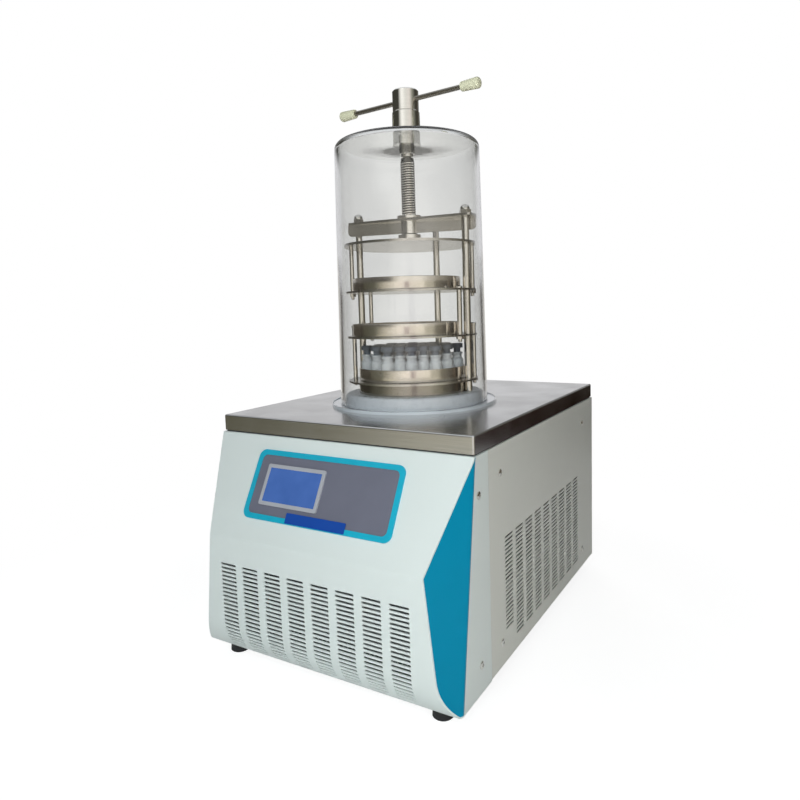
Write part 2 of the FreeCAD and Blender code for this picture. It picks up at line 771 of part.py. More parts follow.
def display():
    """Border, panel, touch screen, its glass and the blank name strip."""
    middle = (display_low + display_high) / 2
    height = display_high - display_low
    outer = rounded_rect(display_width, height, display_corner, display_border_proud, 0, middle)
    inner_w, inner_h = display_width - 2 * display_band, height - 2 * display_band
    corner = display_corner - display_band / 2
    opening = rounded_rect(inner_w, inner_h, corner, display_border_proud + 2, 0, middle, -1)
    border = outer.cut(opening)
    panel = rounded_rect(inner_w - 0.2, inner_h - 0.2, corner, display_panel_proud, 0, middle)

    low, high = screen_low + screen_bezel, screen_high - screen_bezel
    w = screen_width - 2 * screen_bezel
    cx = screen_centre_x
    cy = (screen_low + screen_high) / 2
    half = w / 2 + screen_fit
    panel = panel.cut(box(cx - half, cx + half, low - screen_fit, high + screen_fit, -1, 5))
    bezel = rounded_rect(screen_width, screen_high - screen_low, screen_corner,
                         screen_proud - display_panel_proud, cx, cy, display_panel_proud)
    module = box(cx - w / 2, cx + w / 2, low, high, -screen_depth, display_panel_proud)
    glass = box(cx - w / 2, cx + w / 2, low, high, screen_proud - 1.5, screen_proud - 0.5)
    recess = box(cx - w / 2, cx + w / 2, low, high, screen_proud - 1.5, screen_proud + 1)
    screen = bezel.fuse(module).removeSplitter().cut(recess)
    name = rounded_rect(name_width, name_high - name_low, 1.5, name_proud, name_centre_x,
                        (name_low + name_high) / 2, display_border_proud)
    return [on_slope(s) for s in (border, panel, screen, glass, name)]


# ---------------------------------------------------------------- chamber
def jar_gasket():
    """Flat silicone ring under the jar with a round bead at its rim."""
    r0, r1 = collar_radius + gasket_gap, gasket_radius
    z0, z1 = plate_top, plate_top + gasket_height
    ring = turned([(r0, z0), (r1, z0), (r1, z1), (r0, z1)], 0, axis_y)
    bead = Part.makeTorus(r1 - gasket_bead, gasket_bead, V(0, axis_y, plate_top + gasket_height))
    return ring.fuse(bead).removeSplitter()


def trap_collar():
    """White collar round the mouth of the cold trap."""
    z0 = plate_top + pot_rim
    r0, r1, z1 = collar_bore, collar_radius, collar_top
    collar = turned([(r0, z0), (r1, z0), (r1, z1), (r0, z1)], 0, axis_y)
    collar = collar.makeFillet(collar_round, rims(collar, collar_radius, collar_top))
    return collar.makeFillet(collar_edge, rims(collar, collar_bore, collar_top))


def cold_trap():
    """Stainless pot that hangs in the plate by its rim, with its drain stub."""
    outer = pot_bore + pot_wall
    rim_z = plate_top + pot_rim
    under = pot_floor - pot_wall
    low = under - drain_stub_length
    drain_bore = drain_stub - drain_stub_wall
    pot = turned([(drain_bore, low), (drain_stub, low), (drain_stub, under), (outer, under),
                  (outer, plate_top), (collar_radius, plate_top), (collar_radius, rim_z), (pot_bore, rim_z),
                  (pot_bore, pot_floor), (drain_bore, pot_floor)], 0, axis_y)
    return pot.cut(rod_y(port_bore + port_wall + 0.1, axis_y + pot_bore - 10, axis_y + outer + 5, 0, port_z))


def vacuum_port():
    """Vacuum tube from the pot through the rear panel to a clamp flange."""
    tip = rear_face + port_reach
    start = axis_y + pot_bore
    outer = port_bore + port_wall
    tube = rod_y(outer, start - 4, tip, 0, port_z)
    ring = rod_y(port_ring, rear_face, rear_face + 3, 0, port_z)
    flange = rod_y(port_flange, tip - port_flange_width / 2, tip, 0, port_z)
    foot = V(0, tip - port_flange_width, port_z)
    taper = Part.makeCone(outer, port_flange, port_flange_width / 2, foot, V(0, 1, 0))
    body = tube.fuse([ring, flange, taper]).removeSplitter()
    return body.cut([rod_y(port_bore, start - 8, tip + 1, 0, port_z),
                     rod(pot_bore, pot_floor, plate_top, 0, axis_y)])


def coil_stubs(radius):
    """The two straight ends of the coil, running to the rear."""
    slope = coil_pitch / (2 * math.pi * coil_radius)
    reach = foam_radius * 0.78
    made = []
    for side, z, up in ((-1, coil_low, -1), (1, coil_low + coil_pitch * coil_turns, 1)):
        heading = V(0, 1, up * slope)
        made.append(Part.makeCylinder(radius, reach, V(side * coil_radius, axis_y, z), heading))
    return made, [V(side * coil_radius, axis_y + reach * V(0, 1, up * slope).normalize().y,
                    z + reach * V(0, 1, up * slope).normalize().z)
                  for side, z, up in ((-1, coil_low, -1), (1, coil_low + coil_pitch * coil_turns, 1))]


def evaporator_coil():
    """Copper coil wound round the pot."""
    helix = Part.makeHelix(coil_pitch, coil_pitch * coil_turns, coil_radius)
    edge = helix.Edges[0]
    start = edge.valueAt(edge.FirstParameter)
    heading = edge.tangentAt(edge.FirstParameter)
    ring = Part.Wire([Part.Circle(start, heading, coil_tube).toShape()])
    coil = Part.Wire(helix.Edges).makePipeShell([ring], True, True)
    coil.rotate(V(0, 0, 0), V(0, 0, 1), 180)
    coil.translate(V(0, axis_y, coil_low))
    return coil.fuse(coil_stubs(coil_tube)[0]).removeSplitter()


def trap_insulation():
    """Foam jacket round the pot and coil."""
    top = plate_top - plate_sheet
    inner_floor = pot_floor - pot_wall
    low = inner_floor - foam_floor
    jacket = turned([(0, low), (foam_radius, low), (foam_radius, top), (foam_bore, top),
                     (foam_bore, inner_floor), (0, inner_floor)], 0, axis_y)
    holes = coil_stubs(coil_tube + 0.4)[0]
    holes.append(rod_y(port_bore + port_wall + body_gap, axis_y, axis_y + foam_radius + 5, 0, port_z))
    holes.append(rod(hose_radius + body_gap, low - 5, inner_floor + 5, 0, axis_y))
    return jacket.cut(holes)


def bell_jar():
    """Clear jar: a slightly tapered wall, a round shoulder and a thick flat crown with a centre hole."""
    hole = bushing_stem + stem_fit
    shoulder_z = jar_top - jar_shoulder
    lean = jar_shoulder * (1 - math.sqrt(0.5))
    r_in = jar_top_radius - jar_wall
    f = jar_inner_fillet
    g = f * (1 - math.sqrt(0.5))

    def p(r, z):
        return V(r, axis_y, z)

    edges = [Part.LineSegment(p(jar_foot_radius - jar_wall, jar_foot), p(jar_foot_radius, jar_foot)),
             Part.LineSegment(p(jar_foot_radius, jar_foot), p(jar_top_radius, shoulder_z)),
             Part.Arc(p(jar_top_radius, shoulder_z), p(jar_top_radius - lean, jar_top - lean),
                      p(jar_top_radius - jar_shoulder, jar_top)),
             Part.LineSegment(p(jar_top_radius - jar_shoulder, jar_top), p(hole, jar_top)),
             Part.LineSegment(p(hole, jar_top), p(hole, ceiling)),
             Part.LineSegment(p(hole, ceiling), p(r_in - f, ceiling)),
             Part.Arc(p(r_in - f, ceiling), p(r_in - g, ceiling - g), p(r_in, ceiling - f)),
             Part.LineSegment(p(r_in, ceiling - f), p(jar_foot_radius - jar_wall, jar_foot))]
    wire = Part.Wire([e.toShape() for e in edges])
    return Part.Face(wire).revolve(V(0, axis_y, 0), V(0, 0, 1), 360)


def jar_bushing():
    """Turned bushing on the jar's crown; its stem goes down through the crown."""
    r, z1 = bushing_radius, jar_top + bushing_height
    bore = shaft_radius + shaft_fit
    return turned([(bore, stem_z), (bushing_stem, stem_z), (bushing_stem, jar_top), (bushing_foot, jar_top),
                   (r, z1 - turned_edge), (r - turned_edge, z1), (bore, z1)], 0, axis_y)


def jar_nut():
    """Round nut under the crown, with four slots for a pin spanner in its rim."""
    r, low = jar_nut_radius, ceiling - jar_nut_height
    bore = bushing_stem + stem_fit
    nut = turned([(bore, low), (r - turned_edge, low), (r, low + turned_edge), (r, ceiling), (bore, ceiling)])
    slots = [box(r - turned_edge, r + 1, -jar_nut_slot / 2, jar_nut_slot / 2, low - 1, low + jar_nut_slot)
             for _ in range(4)]
    for i, slot in enumerate(slots):
        slot.rotate(V(0, 0, 0), V(0, 0, 1), 90 * i)
    return on_axis(nut.cut(slots))


def handle_hub():
    """Hub, shaft and square driver, turned from one bar."""
    z0 = jar_top + bushing_height + hub_gap
    z1 = z0 + hub_height
    r, e = hub_radius, turned_edge
    hub = turned([(0, stem_z), (shaft_radius, stem_z), (shaft_radius, z0), (r - e, z0), (r, z0 + e),
                  (r, z1 - hub_edge), (r - hub_edge, z1), (0, z1)], 0, axis_y)
    f = driver_flats / 2
    driver = on_axis(box(-f, f, -f, f, screw_top_z - driver_reach, stem_z + 1), rod_turn)
    hole = rod_x(rod_radius + rod_fit, -r - 1, r + 1, axis_y, z1 - rod_drop)
    hole.rotate(V(0, axis_y, 0), V(0, 0, 1), rod_turn)
    return hub.fuse(driver).removeSplitter().cut(hole)


def rod_height():
    """Height of the cross rod's axis."""
    return jar_top + bushing_height + hub_gap + hub_height - rod_drop


def cross_rod():
    """Cross rod of the T-handle."""
    bar = rod_x(rod_radius, -rod_half, rod_half, axis_y, rod_height())
    bar.rotate(V(0, axis_y, 0), V(0, 0, 1), rod_turn)
    return bar


def grips():
    """Two plastic grips, a little thicker at the outer end, with round edges."""
    z = rod_height()
    made = []
    for side in (-1, 1):
        out = V(side, 0, 0)
        cone = Part.makeCone(grip_inner, grip_outer, grip_length, V(side * grip_start, axis_y, z), out)
        cone = cone.makeFillet(grip_inner_round, circles(cone, grip_inner))
        cone = cone.makeFillet(grip_outer_round, circles(cone, grip_outer))
        mouth = V(side * (grip_start - rod_fit), axis_y, z)
        depth = rod_half - grip_start + 2 * rod_fit
        made.append(cone.cut(Part.makeCylinder(rod_radius + rod_fit, depth, mouth, out)))
    pair = Part.makeCompound(made)
    pair.rotate(V(0, axis_y, 0), V(0, 0, 1), rod_turn)
    return pair


# ---------------------------------------------------------------- rack
def posts_places():
    """Axes of the three posts: (x, y)."""
    return [polar(post_circle, rack_turn + a) for a in post_angles]


def post_holes(radius, z0, z1):
    """Drills for the posts."""
    return [rod(radius, z0, z1, x, y) for x, y in posts_places()]


def hanger_holes(angles, radius, z0, z1):
    """Drills for the hanger rods."""
    return [rod(radius, z0, z1, *polar(hanger_circle, a)) for a in angles]


def rack_ring():
    """Stainless ring that the rack stands on."""
    r0, r1 = rack_ring_radius - rack_ring_wall, rack_ring_radius
    z0, z1 = collar_top, shelf_lower_z - shelf_sheet
    ring = turned([(r0, z0), (r1, z0), (r1, z1), (r0, z1)], 0, axis_y)
    return ring.cut(post_holes(post_radius + 0.2, z0 - 1, z1 + 1))


def rack_posts():
    """Three posts with a shoulder under the lower shelf and a stud for the cap nut."""
    foot, seat = collar_top, shelf_lower_z - shelf_sheet
    tip = bar_z + bar_sheet + post_stud_length
    r, waist = post_radius, post_waist
    outline = [(0, foot), (r, foot), (r, seat), (waist, seat), (waist, shelf_lower_z), (r, shelf_lower_z),
               (r, bar_z), (post_stud, bar_z), (post_stud, tip), (0, tip)]
    return Part.makeCompound([turned(outline, x, y) for x, y in posts_places()])


def shelf(z, holes):
    """Round shelf with the given holes."""
    disc = rod(shelf_radius, z - shelf_sheet, z, 0, axis_y)
    return disc.cut(holes)


def crossbar():
    """T-shaped plate on the posts with a rib below it."""
    z0, z1 = bar_z, bar_z + bar_sheet
    length = 2 * (post_circle + bar_margin)
    arm = on_axis(rounded_rect(length, bar_width, bar_corner, bar_sheet, 0, 0, z0), rack_turn)
    side = tongue_width / 2
    tongue = box(0, post_circle, -side, side, z0, z1).fuse(rod(side, z0, z1, post_circle))
    tongue = on_axis(tongue, rack_turn + post_angles[1])
    half = post_circle + rib_margin
    rib_z = z0 - rib_height
    rib = box(-half, half, -rib_sheet / 2, rib_sheet / 2, rib_z, z0)
    low = [e for e in rib.Edges if e.Length < rib_sheet + 0.01 and abs(e.BoundBox.ZMax - rib_z) < 0.01]
    rib = on_axis(rib.makeFillet(rib_corner, low), rack_turn + rib_turn)
    bar = arm.fuse([tongue, rib]).removeSplitter()
    bar = bar.cut([rod(nut_barrel + 0.1, z0 - 2 * rib_height, z1 + 1, 0, axis_y)])
    return bar.cut(post_holes(post_stud + 0.1, z0 - 1, z1 + 1))


def screw_nut():
    """Flanged nut of the press screw."""
    z1 = bar_z + bar_sheet
    low = bar_z - nut_barrel_drop
    bore = screw_radius + screw_fit
    top = z1 + nut_flange_height
    return turned([(bore, low), (nut_barrel, low), (nut_barrel, z1), (nut_flange, z1),
                   (nut_flange, top - turned_edge), (nut_flange - turned_edge, top), (bore, top)], 0, axis_y)


def cap_nuts():
    """Domed nuts on the posts."""
    z0 = bar_z + bar_sheet
    dome_r = (cap_nut_height - cap_nut_hex) * 0.86
    made = []
    for x, y in posts_places():
        nut = hexagon(cap_nut_flats, z0, z0 + cap_nut_hex, x, y, 10)
        dome = Part.makeSphere(dome_r, V(x, y, z0 + cap_nut_height - dome_r))
        neck = rod(dome_r, z0, z0 + cap_nut_height - dome_r, x, y)
        nut = nut.fuse([dome, neck]).removeSplitter()
        made.append(nut.cut(rod(post_stud + 0.1, z0 - 1, z0 + post_stud_length + 0.2, x, y)))
    return Part.makeCompound(made)


def press_screw():
    """Press screw with a square socket from its top and a spigot at its foot."""
    z0 = pad_z + pad_boss_height + pad_height + body_gap
    r, top = screw_radius, screw_top_z
    screw = turned([(0, z0 - spigot_length), (spigot_radius, z0 - spigot_length), (spigot_radius, z0),
                    (r, z0), (r, top - screw_edge), (r - screw_edge, top), (0, top)], 0, axis_y)
    f = driver_flats / 2 + driver_fit
    return screw.cut(on_axis(box(-f, f, -f, f, top - driver_reach - 2, top + 1), rod_turn))


def press_pad():
    """Pad on the press disc that the screw turns in."""
    z0, z1 = pad_z, pad_z + pad_boss_height
    top = z1 + pad_height
    bore = spigot_radius + screw_fit
    low = top - spigot_length
    return turned([(0, z0), (pad_boss, z0), (pad_boss, z1), (pad_radius, z1), (pad_radius, top), (bore, top),
                   (bore, low), (0, low)], 0, axis_y)


def press_disc():
    """Round disc that the pad presses on."""
    disc = rod(shelf_radius, disc_z, disc_z + disc_sheet, 0, axis_y)
    holes = post_holes(post_radius + post_fit, disc_z - 1, disc_z + 10)
    return disc.cut(holes + hanger_holes(outer_hangers, hanger_radius + hanger_fit, disc_z - 1, disc_z + 10))


def hanger(x, y, shelf_z, head_z):
    """Rod that hangs a shelf from the one above, with the nut under the shelf."""
    under = shelf_z - shelf_sheet
    tip = under - hanger_nut_height - hanger_tip
    h, top, e = hanger_head, head_z + hanger_head_height, hanger_head_edge
    stem = turned([(0, tip), (hanger_thread - 1, tip), (hanger_thread, tip + 1), (hanger_thread, shelf_z),
                   (hanger_radius, shelf_z), (hanger_radius, head_z), (h, head_z), (h, top - e),
                   (h - e, top), (0, top)], x, y)
    nut = hexagon(hanger_nut_flats, under - hanger_nut_height, under, x, y, 17)
    return [stem, nut.cut(rod(hanger_thread + 0.1, tip, under + 1, x, y))]


def hangers():
    """Hanger rods that travel with the press, and those of the lower shelf."""
    moving = []
    for a in outer_hangers:
        moving += hanger(*polar(hanger_circle, a), shelf_upper_z, disc_z + disc_sheet)
    for a in middle_hangers:
        moving += hanger(*polar(hanger_circle, a), shelf_middle_z, shelf_upper_z)
    fixed = []
    for a in outer_hangers:
        fixed += hanger(*polar(hanger_circle, a), shelf_lower_z, shelf_middle_z + lower_hanger_rise)
    return Part.makeCompound(moving), Part.makeCompound(fixed)


def tray(name, z):
    """Round deep tray, set down a little off the middle of its shelf."""
    dx, dy = tray_shift[name]
    r, t, h = tray_radius, tray_sheet, tray_height
    body = rod(r, z, z + h, dx, axis_y + dy)
    body = body.makeFillet(tray_round, rims(body, r, z))
    return body.cut(rod(r - t, z + t, z + h + 1, dx, axis_y + dy))


def vial_places():
    """Hexagonal packing of the vials inside the lower tray."""
    dx, dy = tray_shift["tray_lower"]
    reach = tray_radius - tray_sheet - vial_radius - body_gap
    found = []
    for i in range(-6, 7):
        for j in range(-6, 7):
            x = (i + j / 2) * vial_pitch
            y = j * vial_pitch * math.sqrt(3) / 2
            if math.hypot(x, y) <= reach:
                found.append((x + dx, axis_y + y + dy))
    return found


def vials_and_stoppers():
    """Glass vials with their stoppers standing half in."""
    z = shelf_lower_z + tray_sheet
    r, t, h, m = vial_radius, vial_wall, vial_height, vial_mouth
    neck = m + vial_neck_wall
    lip = neck + vial_lip_width
    body, shoulder, top = z + vial_body, z + vial_shoulder, z + h
    middle = (body + shoulder) / 2
    vial = turned([(0, z), (r - 1, z), (r, z + 1), (r, body), (r - vial_lean, middle), (neck, shoulder),
                   (neck, top - vial_lip), (lip, top - vial_lip + 0.5), (lip, top), (m, top),
                   (m, shoulder + 1), (r - t - vial_lean, middle), (r - t, body), (r - t, z + t + 1),
                   (r - t - 1, z + t), (0, z + t)])
    flange = top + stopper_stroke + body_gap
    low = flange - stopper_plug_length
    s, crown, hollow = stopper_radius, flange + stopper_flange, low + stopper_hollow_depth
    stopper = turned([(0, hollow), (stopper_hollow, hollow), (stopper_hollow, low), (stopper_plug - 0.8, low),
                      (stopper_plug, low + 1.5), (stopper_plug, flange), (s, flange), (s, crown - 1),
                      (s - 1, crown), (0, crown)])
    vials, stoppers = [], []
    for x, y in vial_places():
        for made, shape in ((vials, vial), (stoppers, stopper)):
            copy = shape.copy()
            copy.translate(V(x, y, 0))
            made.append(copy)
    return Part.makeCompound(vials), Part.makeCompound(stoppers)


# ---------------------------------------------------------------- works
def drain():
    """Drain hose from the pot to the valve on the rear panel, the valve and its lever."""
    stub_top = pot_floor - pot_wall - 1
    inside = rear_face - panel_sheet
    barb_y = inside - 25
    points = [(0, axis_y, stub_top), (0, axis_y, valve_z), (valve_x, axis_y, valve_z),
              (valve_x, inside - 8, valve_z)]
    hose = pipe(points, hose_radius, 30, hose_bore)
    body_y = rear_face + valve_length
    barb = rod_y(hose_bore - 0.05, barb_y, inside - 6, valve_x, valve_z)
    neck = rod_y(hose_radius - 0.2, inside - 6, rear_face, valve_x, valve_z)
    body = rod_y(valve_radius, rear_face, body_y, valve_x, valve_z)
    nipple = rod_y(nipple_radius, body_y, body_y + nipple_length, valve_x, valve_z)
    stem_y = rear_face + valve_length / 2
    tower = rod(6.0, valve_z, valve_z + valve_radius + 6, valve_x, stem_y)
    valve = body.fuse([barb, neck, nipple, tower]).removeSplitter()
    valve = valve.cut([rod_y(1.9, body_y, body_y + nipple_length + 1, valve_x, valve_z),
                       rod(3.0, valve_z + 6, valve_z + 30, valve_x, stem_y)])
    top = valve_z + valve_radius + 6 + body_gap
    stem = rod(2.94, valve_z + 7, top, valve_x, stem_y)
    hub = rod(6.0, top, top + 4, valve_x, stem_y)
    blade = box(valve_x - lever_length, valve_x, stem_y - 4, stem_y + 4, top, top + 2.5)
    tip = rod(5.0, top, top + 4, valve_x - lever_length, stem_y)
    return hose, valve, stem.fuse([hub, blade, tip]).removeSplitter()


def compressor():
    """Sealed compressor on a base plate with four rubber mounts, and its two stubs."""
    x, y = compressor_x, plate_front + compressor_back
    z0, z1 = compressor_z
    r = compressor_radius
    shell = turned([(0, z0), (r - 22, z0), (r - 8, z0 + 8), (r, z0 + 24), (r, z1 - 34), (r - 7, z1 - 16),
                    (r - 24, z1 - 4), (r - 40, z1), (0, z1)], x, y)
    seam_ring = rod(r + 2, (z0 + z1) / 2 - 2, (z0 + z1) / 2 + 2, x, y)
    plate = box(x - 70, x + 70, y - 50, y + 50, z0 - 4, z0 + 1)
    mounts = [rod(9, floor_z, z0 - 4, x + sx * 58, y + sy * 40) for sx in (-1, 1) for sy in (-1, 1)]
    stubs = [rod_x(line_radius, x - r - discharge_stub, x - r + 10, y, discharge_z),
             rod_y(line_radius + 1, y - r - suction_stub, y - r + 10, x, suction_z)]
    return shell.fuse([seam_ring, plate] + mounts + stubs).removeSplitter()


def condenser_passes():
    """Heights of the condenser's passes, as many pairs as fit under the free height."""
    room = panel_top - condenser_head - pass_low + pass_pitch
    return [pass_low + pass_pitch * i for i in range(2 * int(room / (2 * pass_pitch)))]


def condenser():
    """Finned condenser: one serpentine tube through a row of fins between two end sheets."""
    y = condenser_y
    heights = condenser_passes()
    x = condenser_half + condenser_stub
    points = [(-x, y, heights[-1])]
    for i, z in enumerate(reversed(heights)):
        end = x if i % 2 == 0 else -x
        if i < len(heights) - 1:
            points += [(end, y, z), (end, y, z - pass_pitch)]
    points.append((-x, y, heights[0]))
    tube = pipe(points, coil_tube, pass_pitch / 2 - 0.01)
    hole = coil_tube + 0.05
    drills = Part.makeCompound([rod_x(hole, -x, x, y, z) for z in heights])
    y0, y1 = y - condenser_depth / 2, y + condenser_depth / 2
    fin = box(0, fin_sheet, y0, y1, heights[0] - fin_margin, heights[-1] + fin_margin).cut(drills)
    count = int(2 * (condenser_half - 4) / fin_pitch) + 1
    start = -(count - 1) * fin_pitch / 2
    parts = [tube]
    for i in range(count):
        copy = fin.copy()
        copy.translate(V(start + i * fin_pitch, 0, 0))
        parts.append(copy)
    for s in (-1, 1):
        side = s * condenser_half
        low, high = sorted((side, side + s * base_sheet))
        parts.append(box(low, high, y0, y1, floor_z, heights[-1] + fin_margin + 2).cut(drills))
    return Part.makeCompound(parts)


def fan():
    """Fan housing with its motor, and the blades on the motor's shaft."""
    y, back = fan_y, fan_y + fan_ring_depth
    r = fan_radius + 2
    plate = box(-110, 110, y, y + 2, floor_z, fan_z + r + 12).cut(rod_y(r, y - 1, y + 5, 0, fan_z))
    ring = rod_y(r + 2, y, back, 0, fan_z).cut(rod_y(r, y - 1, back + 4, 0, fan_z))
    arms = [box(-5, 5, back, back + 3, fan_z - r - 2, fan_z + r + 2),
            box(-r - 2, r + 2, back, back + 3, fan_z - 5, fan_z + 5)]
    motor = rod_y(fan_motor_radius, back + 1, y + fan_motor_end, 0, fan_z)
    shaft = rod_y(3, y + 8, back + 4, 0, fan_z)
    housing = plate.fuse([ring, motor, shaft] + arms).removeSplitter()
    hub = rod_y(17, y + 6, y + 22, 0, fan_z)
    blades = []
    for i in range(5):
        blade = box(-17, 17, -0.8, 0.8, 14, fan_radius)
        blade.rotate(V(0, 0, 0), V(0, 0, 1), 28)
        blade = blade.common(rod_y(fan_radius, -30, 30, 0, 0))
        blade.translate(V(0, y + 14, fan_z))
        blade.rotate(V(0, 0, fan_z), V(0, 1, 0), 72 * i)
        blades.append(blade)
    rotor = hub.fuse(blades).removeSplitter().cut(rod_y(3.05, y, y + 30, 0, fan_z))
    return housing, rotor


def lines():
    """Refrigerant lines: discharge, liquid with its drier, and suction."""
    y_comp = plate_front + compressor_back
    y_cond = condenser_y
    x_cond = -condenser_half - condenser_stub - body_gap
    heights = condenser_passes()
    low_end, high_end = coil_stubs(coil_tube)[1]
    x_stub = compressor_x - compressor_radius - discharge_stub - body_gap
    side, z_top = discharge_x, heights[-1]
    discharge = pipe([(x_cond, y_cond, z_top), (side, y_cond, z_top), (side, y_cond, discharge_z),
                      (side, y_comp, discharge_z), (x_stub, y_comp, discharge_z)], line_radius, thin_bend)
    y_turn = low_end.y + 17
    z_foot, z_low = heights[0], low_end.z
    liquid = pipe([(x_cond, y_cond, z_foot), (drier_x, y_cond, z_foot), (drier_x, y_turn, z_foot),
                   (drier_x, y_turn, z_low), (low_end.x, y_turn, z_low),
                   (low_end.x, low_end.y + body_gap, z_low)], line_radius, thin_bend)
    drier = rod_y(drier_radius, y_cond + drier_span[0], y_cond + drier_span[1], drier_x, z_foot)
    liquid = liquid.fuse(drier).removeSplitter()
    y_back = high_end.y + 41
    y_stub = y_comp - compressor_radius - suction_stub - body_gap
    suction = pipe([(high_end.x, high_end.y + body_gap, high_end.z), (high_end.x, y_back, high_end.z),
                    (compressor_x, y_back, high_end.z), (compressor_x, y_back, suction_z),
                    (compressor_x, y_stub, suction_z)], line_radius + 1, line_bend)
    return discharge, liquid, suction


def control_board():
    """Power board with its relays and transformer on four spacers."""
    x0, x1 = board_x
    y0, y1 = plate_front + board_back[0], plate_front + board_back[1]
    z = floor_z + board_rise
    board = box(x0, x1, y0, y1, z, z + board_sheet)
    spacers = [rod(3, floor_z, z, x, y) for x in (x0 + 6, x1 - 6) for y in (y0 + 6, y1 - 6)]
    top = z + board_sheet
    blocks = [box(x0 + 12, x0 + 52, y0 + 15, y0 + 50, top, z + 30),
              box(x0 + 62, x0 + 80, y0 + 15, y0 + 30, top, z + 17),
              box(x0 + 84, x0 + 102, y0 + 15, y0 + 30, top, z + 17),
              box(x0 + 12, x0 + 60, y0 + 70, y0 + 80, top, z + 12),
              rod(8, top, z + 24, x0 + 85, y0 + 75)]
    return board.fuse(spacers + blocks).removeSplitter()


def mains_inlet():
    """Three-pin mains inlet in the rear panel."""
    x, z, y = inlet_x, inlet_z, rear_face
    flange = rounded_rect(50, 28, 3, 2.5)
    flange.rotate(V(0, 0, 0), V(1, 0, 0), -90)
    flange.translate(V(x, y, z))
    body = box(x - 13.8, x + 13.8, y - 20, y, z - 10.3, z + 10.3)
    recess = box(x - 12, x + 12, y - 16, y + 5, z - 8.2, z + 8.2)
    shell = flange.fuse(body).removeSplitter().cut(recess)
    pins = [box(x + dx - 1, x + dx + 1, y - 17, y - 1, z + dz - 2.5, z + dz + 2.5)
            for dx, dz in ((-7, -3.4), (0, 3.4), (7, -3.4))]
    return shell.fuse(pins).removeSplitter()


def power_switch():
    """Rocker switch: its housing and the rocker on its pins."""
    x, z, y = switch_x, switch_z, rear_face
    housing = box(x - 10, x + 10, y, y + 2, z - 14, z + 14)
    housing = housing.fuse(box(x - 7.8, x + 7.8, y - 18, y, z - 11.8, z + 11.8))
    cavity = box(x - 6.3, x + 6.3, y - 9, y + 3, z - 10.2, z + 10.2)
    pivot_y = y - 2.5
    housing = housing.removeSplitter().cut([cavity, rod_x(1.25, x - 7.3, x + 7.3, pivot_y, z)])
    plate = box(x - 6, x + 6, y - 4, y + 1.8, z - 9.2, z + 9.2)
    plate = plate.fuse(rod_x(1.2, x - 7.2, x + 7.2, pivot_y, z)).removeSplitter()
    plate.rotate(V(x, pivot_y, z), V(1, 0, 0), -10)
    return housing, plate


# ---------------------------------------------------------------- parts
def main():
    """Make every part and write it to its own file."""
    cover, cheek_left, cheek_right = front_shell()
    right_side = side_panel()
    border, panel, screen, glass, name = display()
    press_rods, lower_rods = hangers()
    vials, stoppers = vials_and_stoppers()
    hose, valve, lever = drain()
    fan_housing, fan_blades = fan()
    discharge, liquid, suction = lines()
    switch_housing, switch_rocker = power_switch()
    z_cut = (-10, 1200)
    fixed_posts = post_holes(post_waist + 0.1, *z_cut)
    moving_posts = post_holes(post_radius + post_fit, *z_cut)
    rod_hole, thread_hole = hanger_radius + hanger_fit, hanger_thread + 0.1
    lower_holes = hanger_holes(outer_hangers, thread_hole, *z_cut)
    middle_holes = hanger_holes(outer_hangers, rod_hole, *z_cut)
    middle_holes += hanger_holes(middle_hangers, thread_hole, *z_cut)
    upper_holes = lower_holes + hanger_holes(middle_hangers, rod_hole, *z_cut)

    parts = {
        "base_pan": base_pan(),
        "feet": feet(),
        "frame": frame(),
        "side_panel_left": mirrored(right_side),
        "side_panel_right": right_side,
        "rear_panel": rear_panel(),
        "front_cover": cover,
        "cheek_left": cheek_left,
        "cheek_right": cheek_right,
        "top_plate": top_plate(),
        "panel_screws": panel_screws(),
        "display_border": border,
        "display_panel": panel,
        "touch_screen": screen,
        "screen_glass": glass,
        "name_strip": name,
        "jar_gasket": jar_gasket(),
        "trap_collar": trap_collar(),
        "cold_trap": cold_trap(),
        "evaporator_coil": evaporator_coil(),
        "trap_insulation": trap_insulation(),
        "vacuum_port": vacuum_port(),
        "drain_hose": hose,
        "drain_valve": valve,
        "drain_lever": lever,
        "compressor": compressor(),
        "condenser": condenser(),
        "fan_housing": fan_housing,
        "fan_blades": fan_blades,
        "discharge_line": discharge,
        "liquid_line": liquid,
        "suction_line": suction,
        "control_board": control_board(),
        "mains_inlet": mains_inlet(),
        "switch_housing": switch_housing,
        "switch_rocker": switch_rocker,
        "bell_jar": bell_jar(),
        "jar_bushing": jar_bushing(),
        "jar_nut": jar_nut(),
        "handle_hub": handle_hub(),
        "cross_rod": cross_rod(),
        "grips": grips(),
        "press_screw": press_screw(),
        "press_pad": press_pad(),
        "press_disc": press_disc(),
        "press_rods": press_rods,
        "shelf_upper": shelf(shelf_upper_z, moving_posts + upper_holes),
        "shelf_middle": shelf(shelf_middle_z, moving_posts + middle_holes),
        "shelf_lower": shelf(shelf_lower_z, fixed_posts + lower_holes),
        "tray_upper": tray("tray_upper", shelf_upper_z),
        "tray_middle": tray("tray_middle", shelf_middle_z),
        "tray_lower": tray("tray_lower", shelf_lower_z),
        "lower_rods": lower_rods,
        "rack_ring": rack_ring(),
        "rack_posts": rack_posts(),
        "crossbar": crossbar(),
        "screw_nut": screw_nut(),
        "cap_nuts": cap_nuts(),
        "vials": vials,
        "stoppers": stoppers,
    }
    os.makedirs("parts", exist_ok=True)
    for name_of_part, shape in parts.items():
        shape.exportStep("parts/" + name_of_part + ".step")
        volume = round(shape.Volume / 1000, 2)
        print(name_of_part, len(shape.Solids), "solids", volume, "cm3", shape.isValid())


main()
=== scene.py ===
"""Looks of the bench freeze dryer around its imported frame. Metres, +Z up, the front faces -Y."""
import math

import bpy
from mathutils import Matrix, Vector

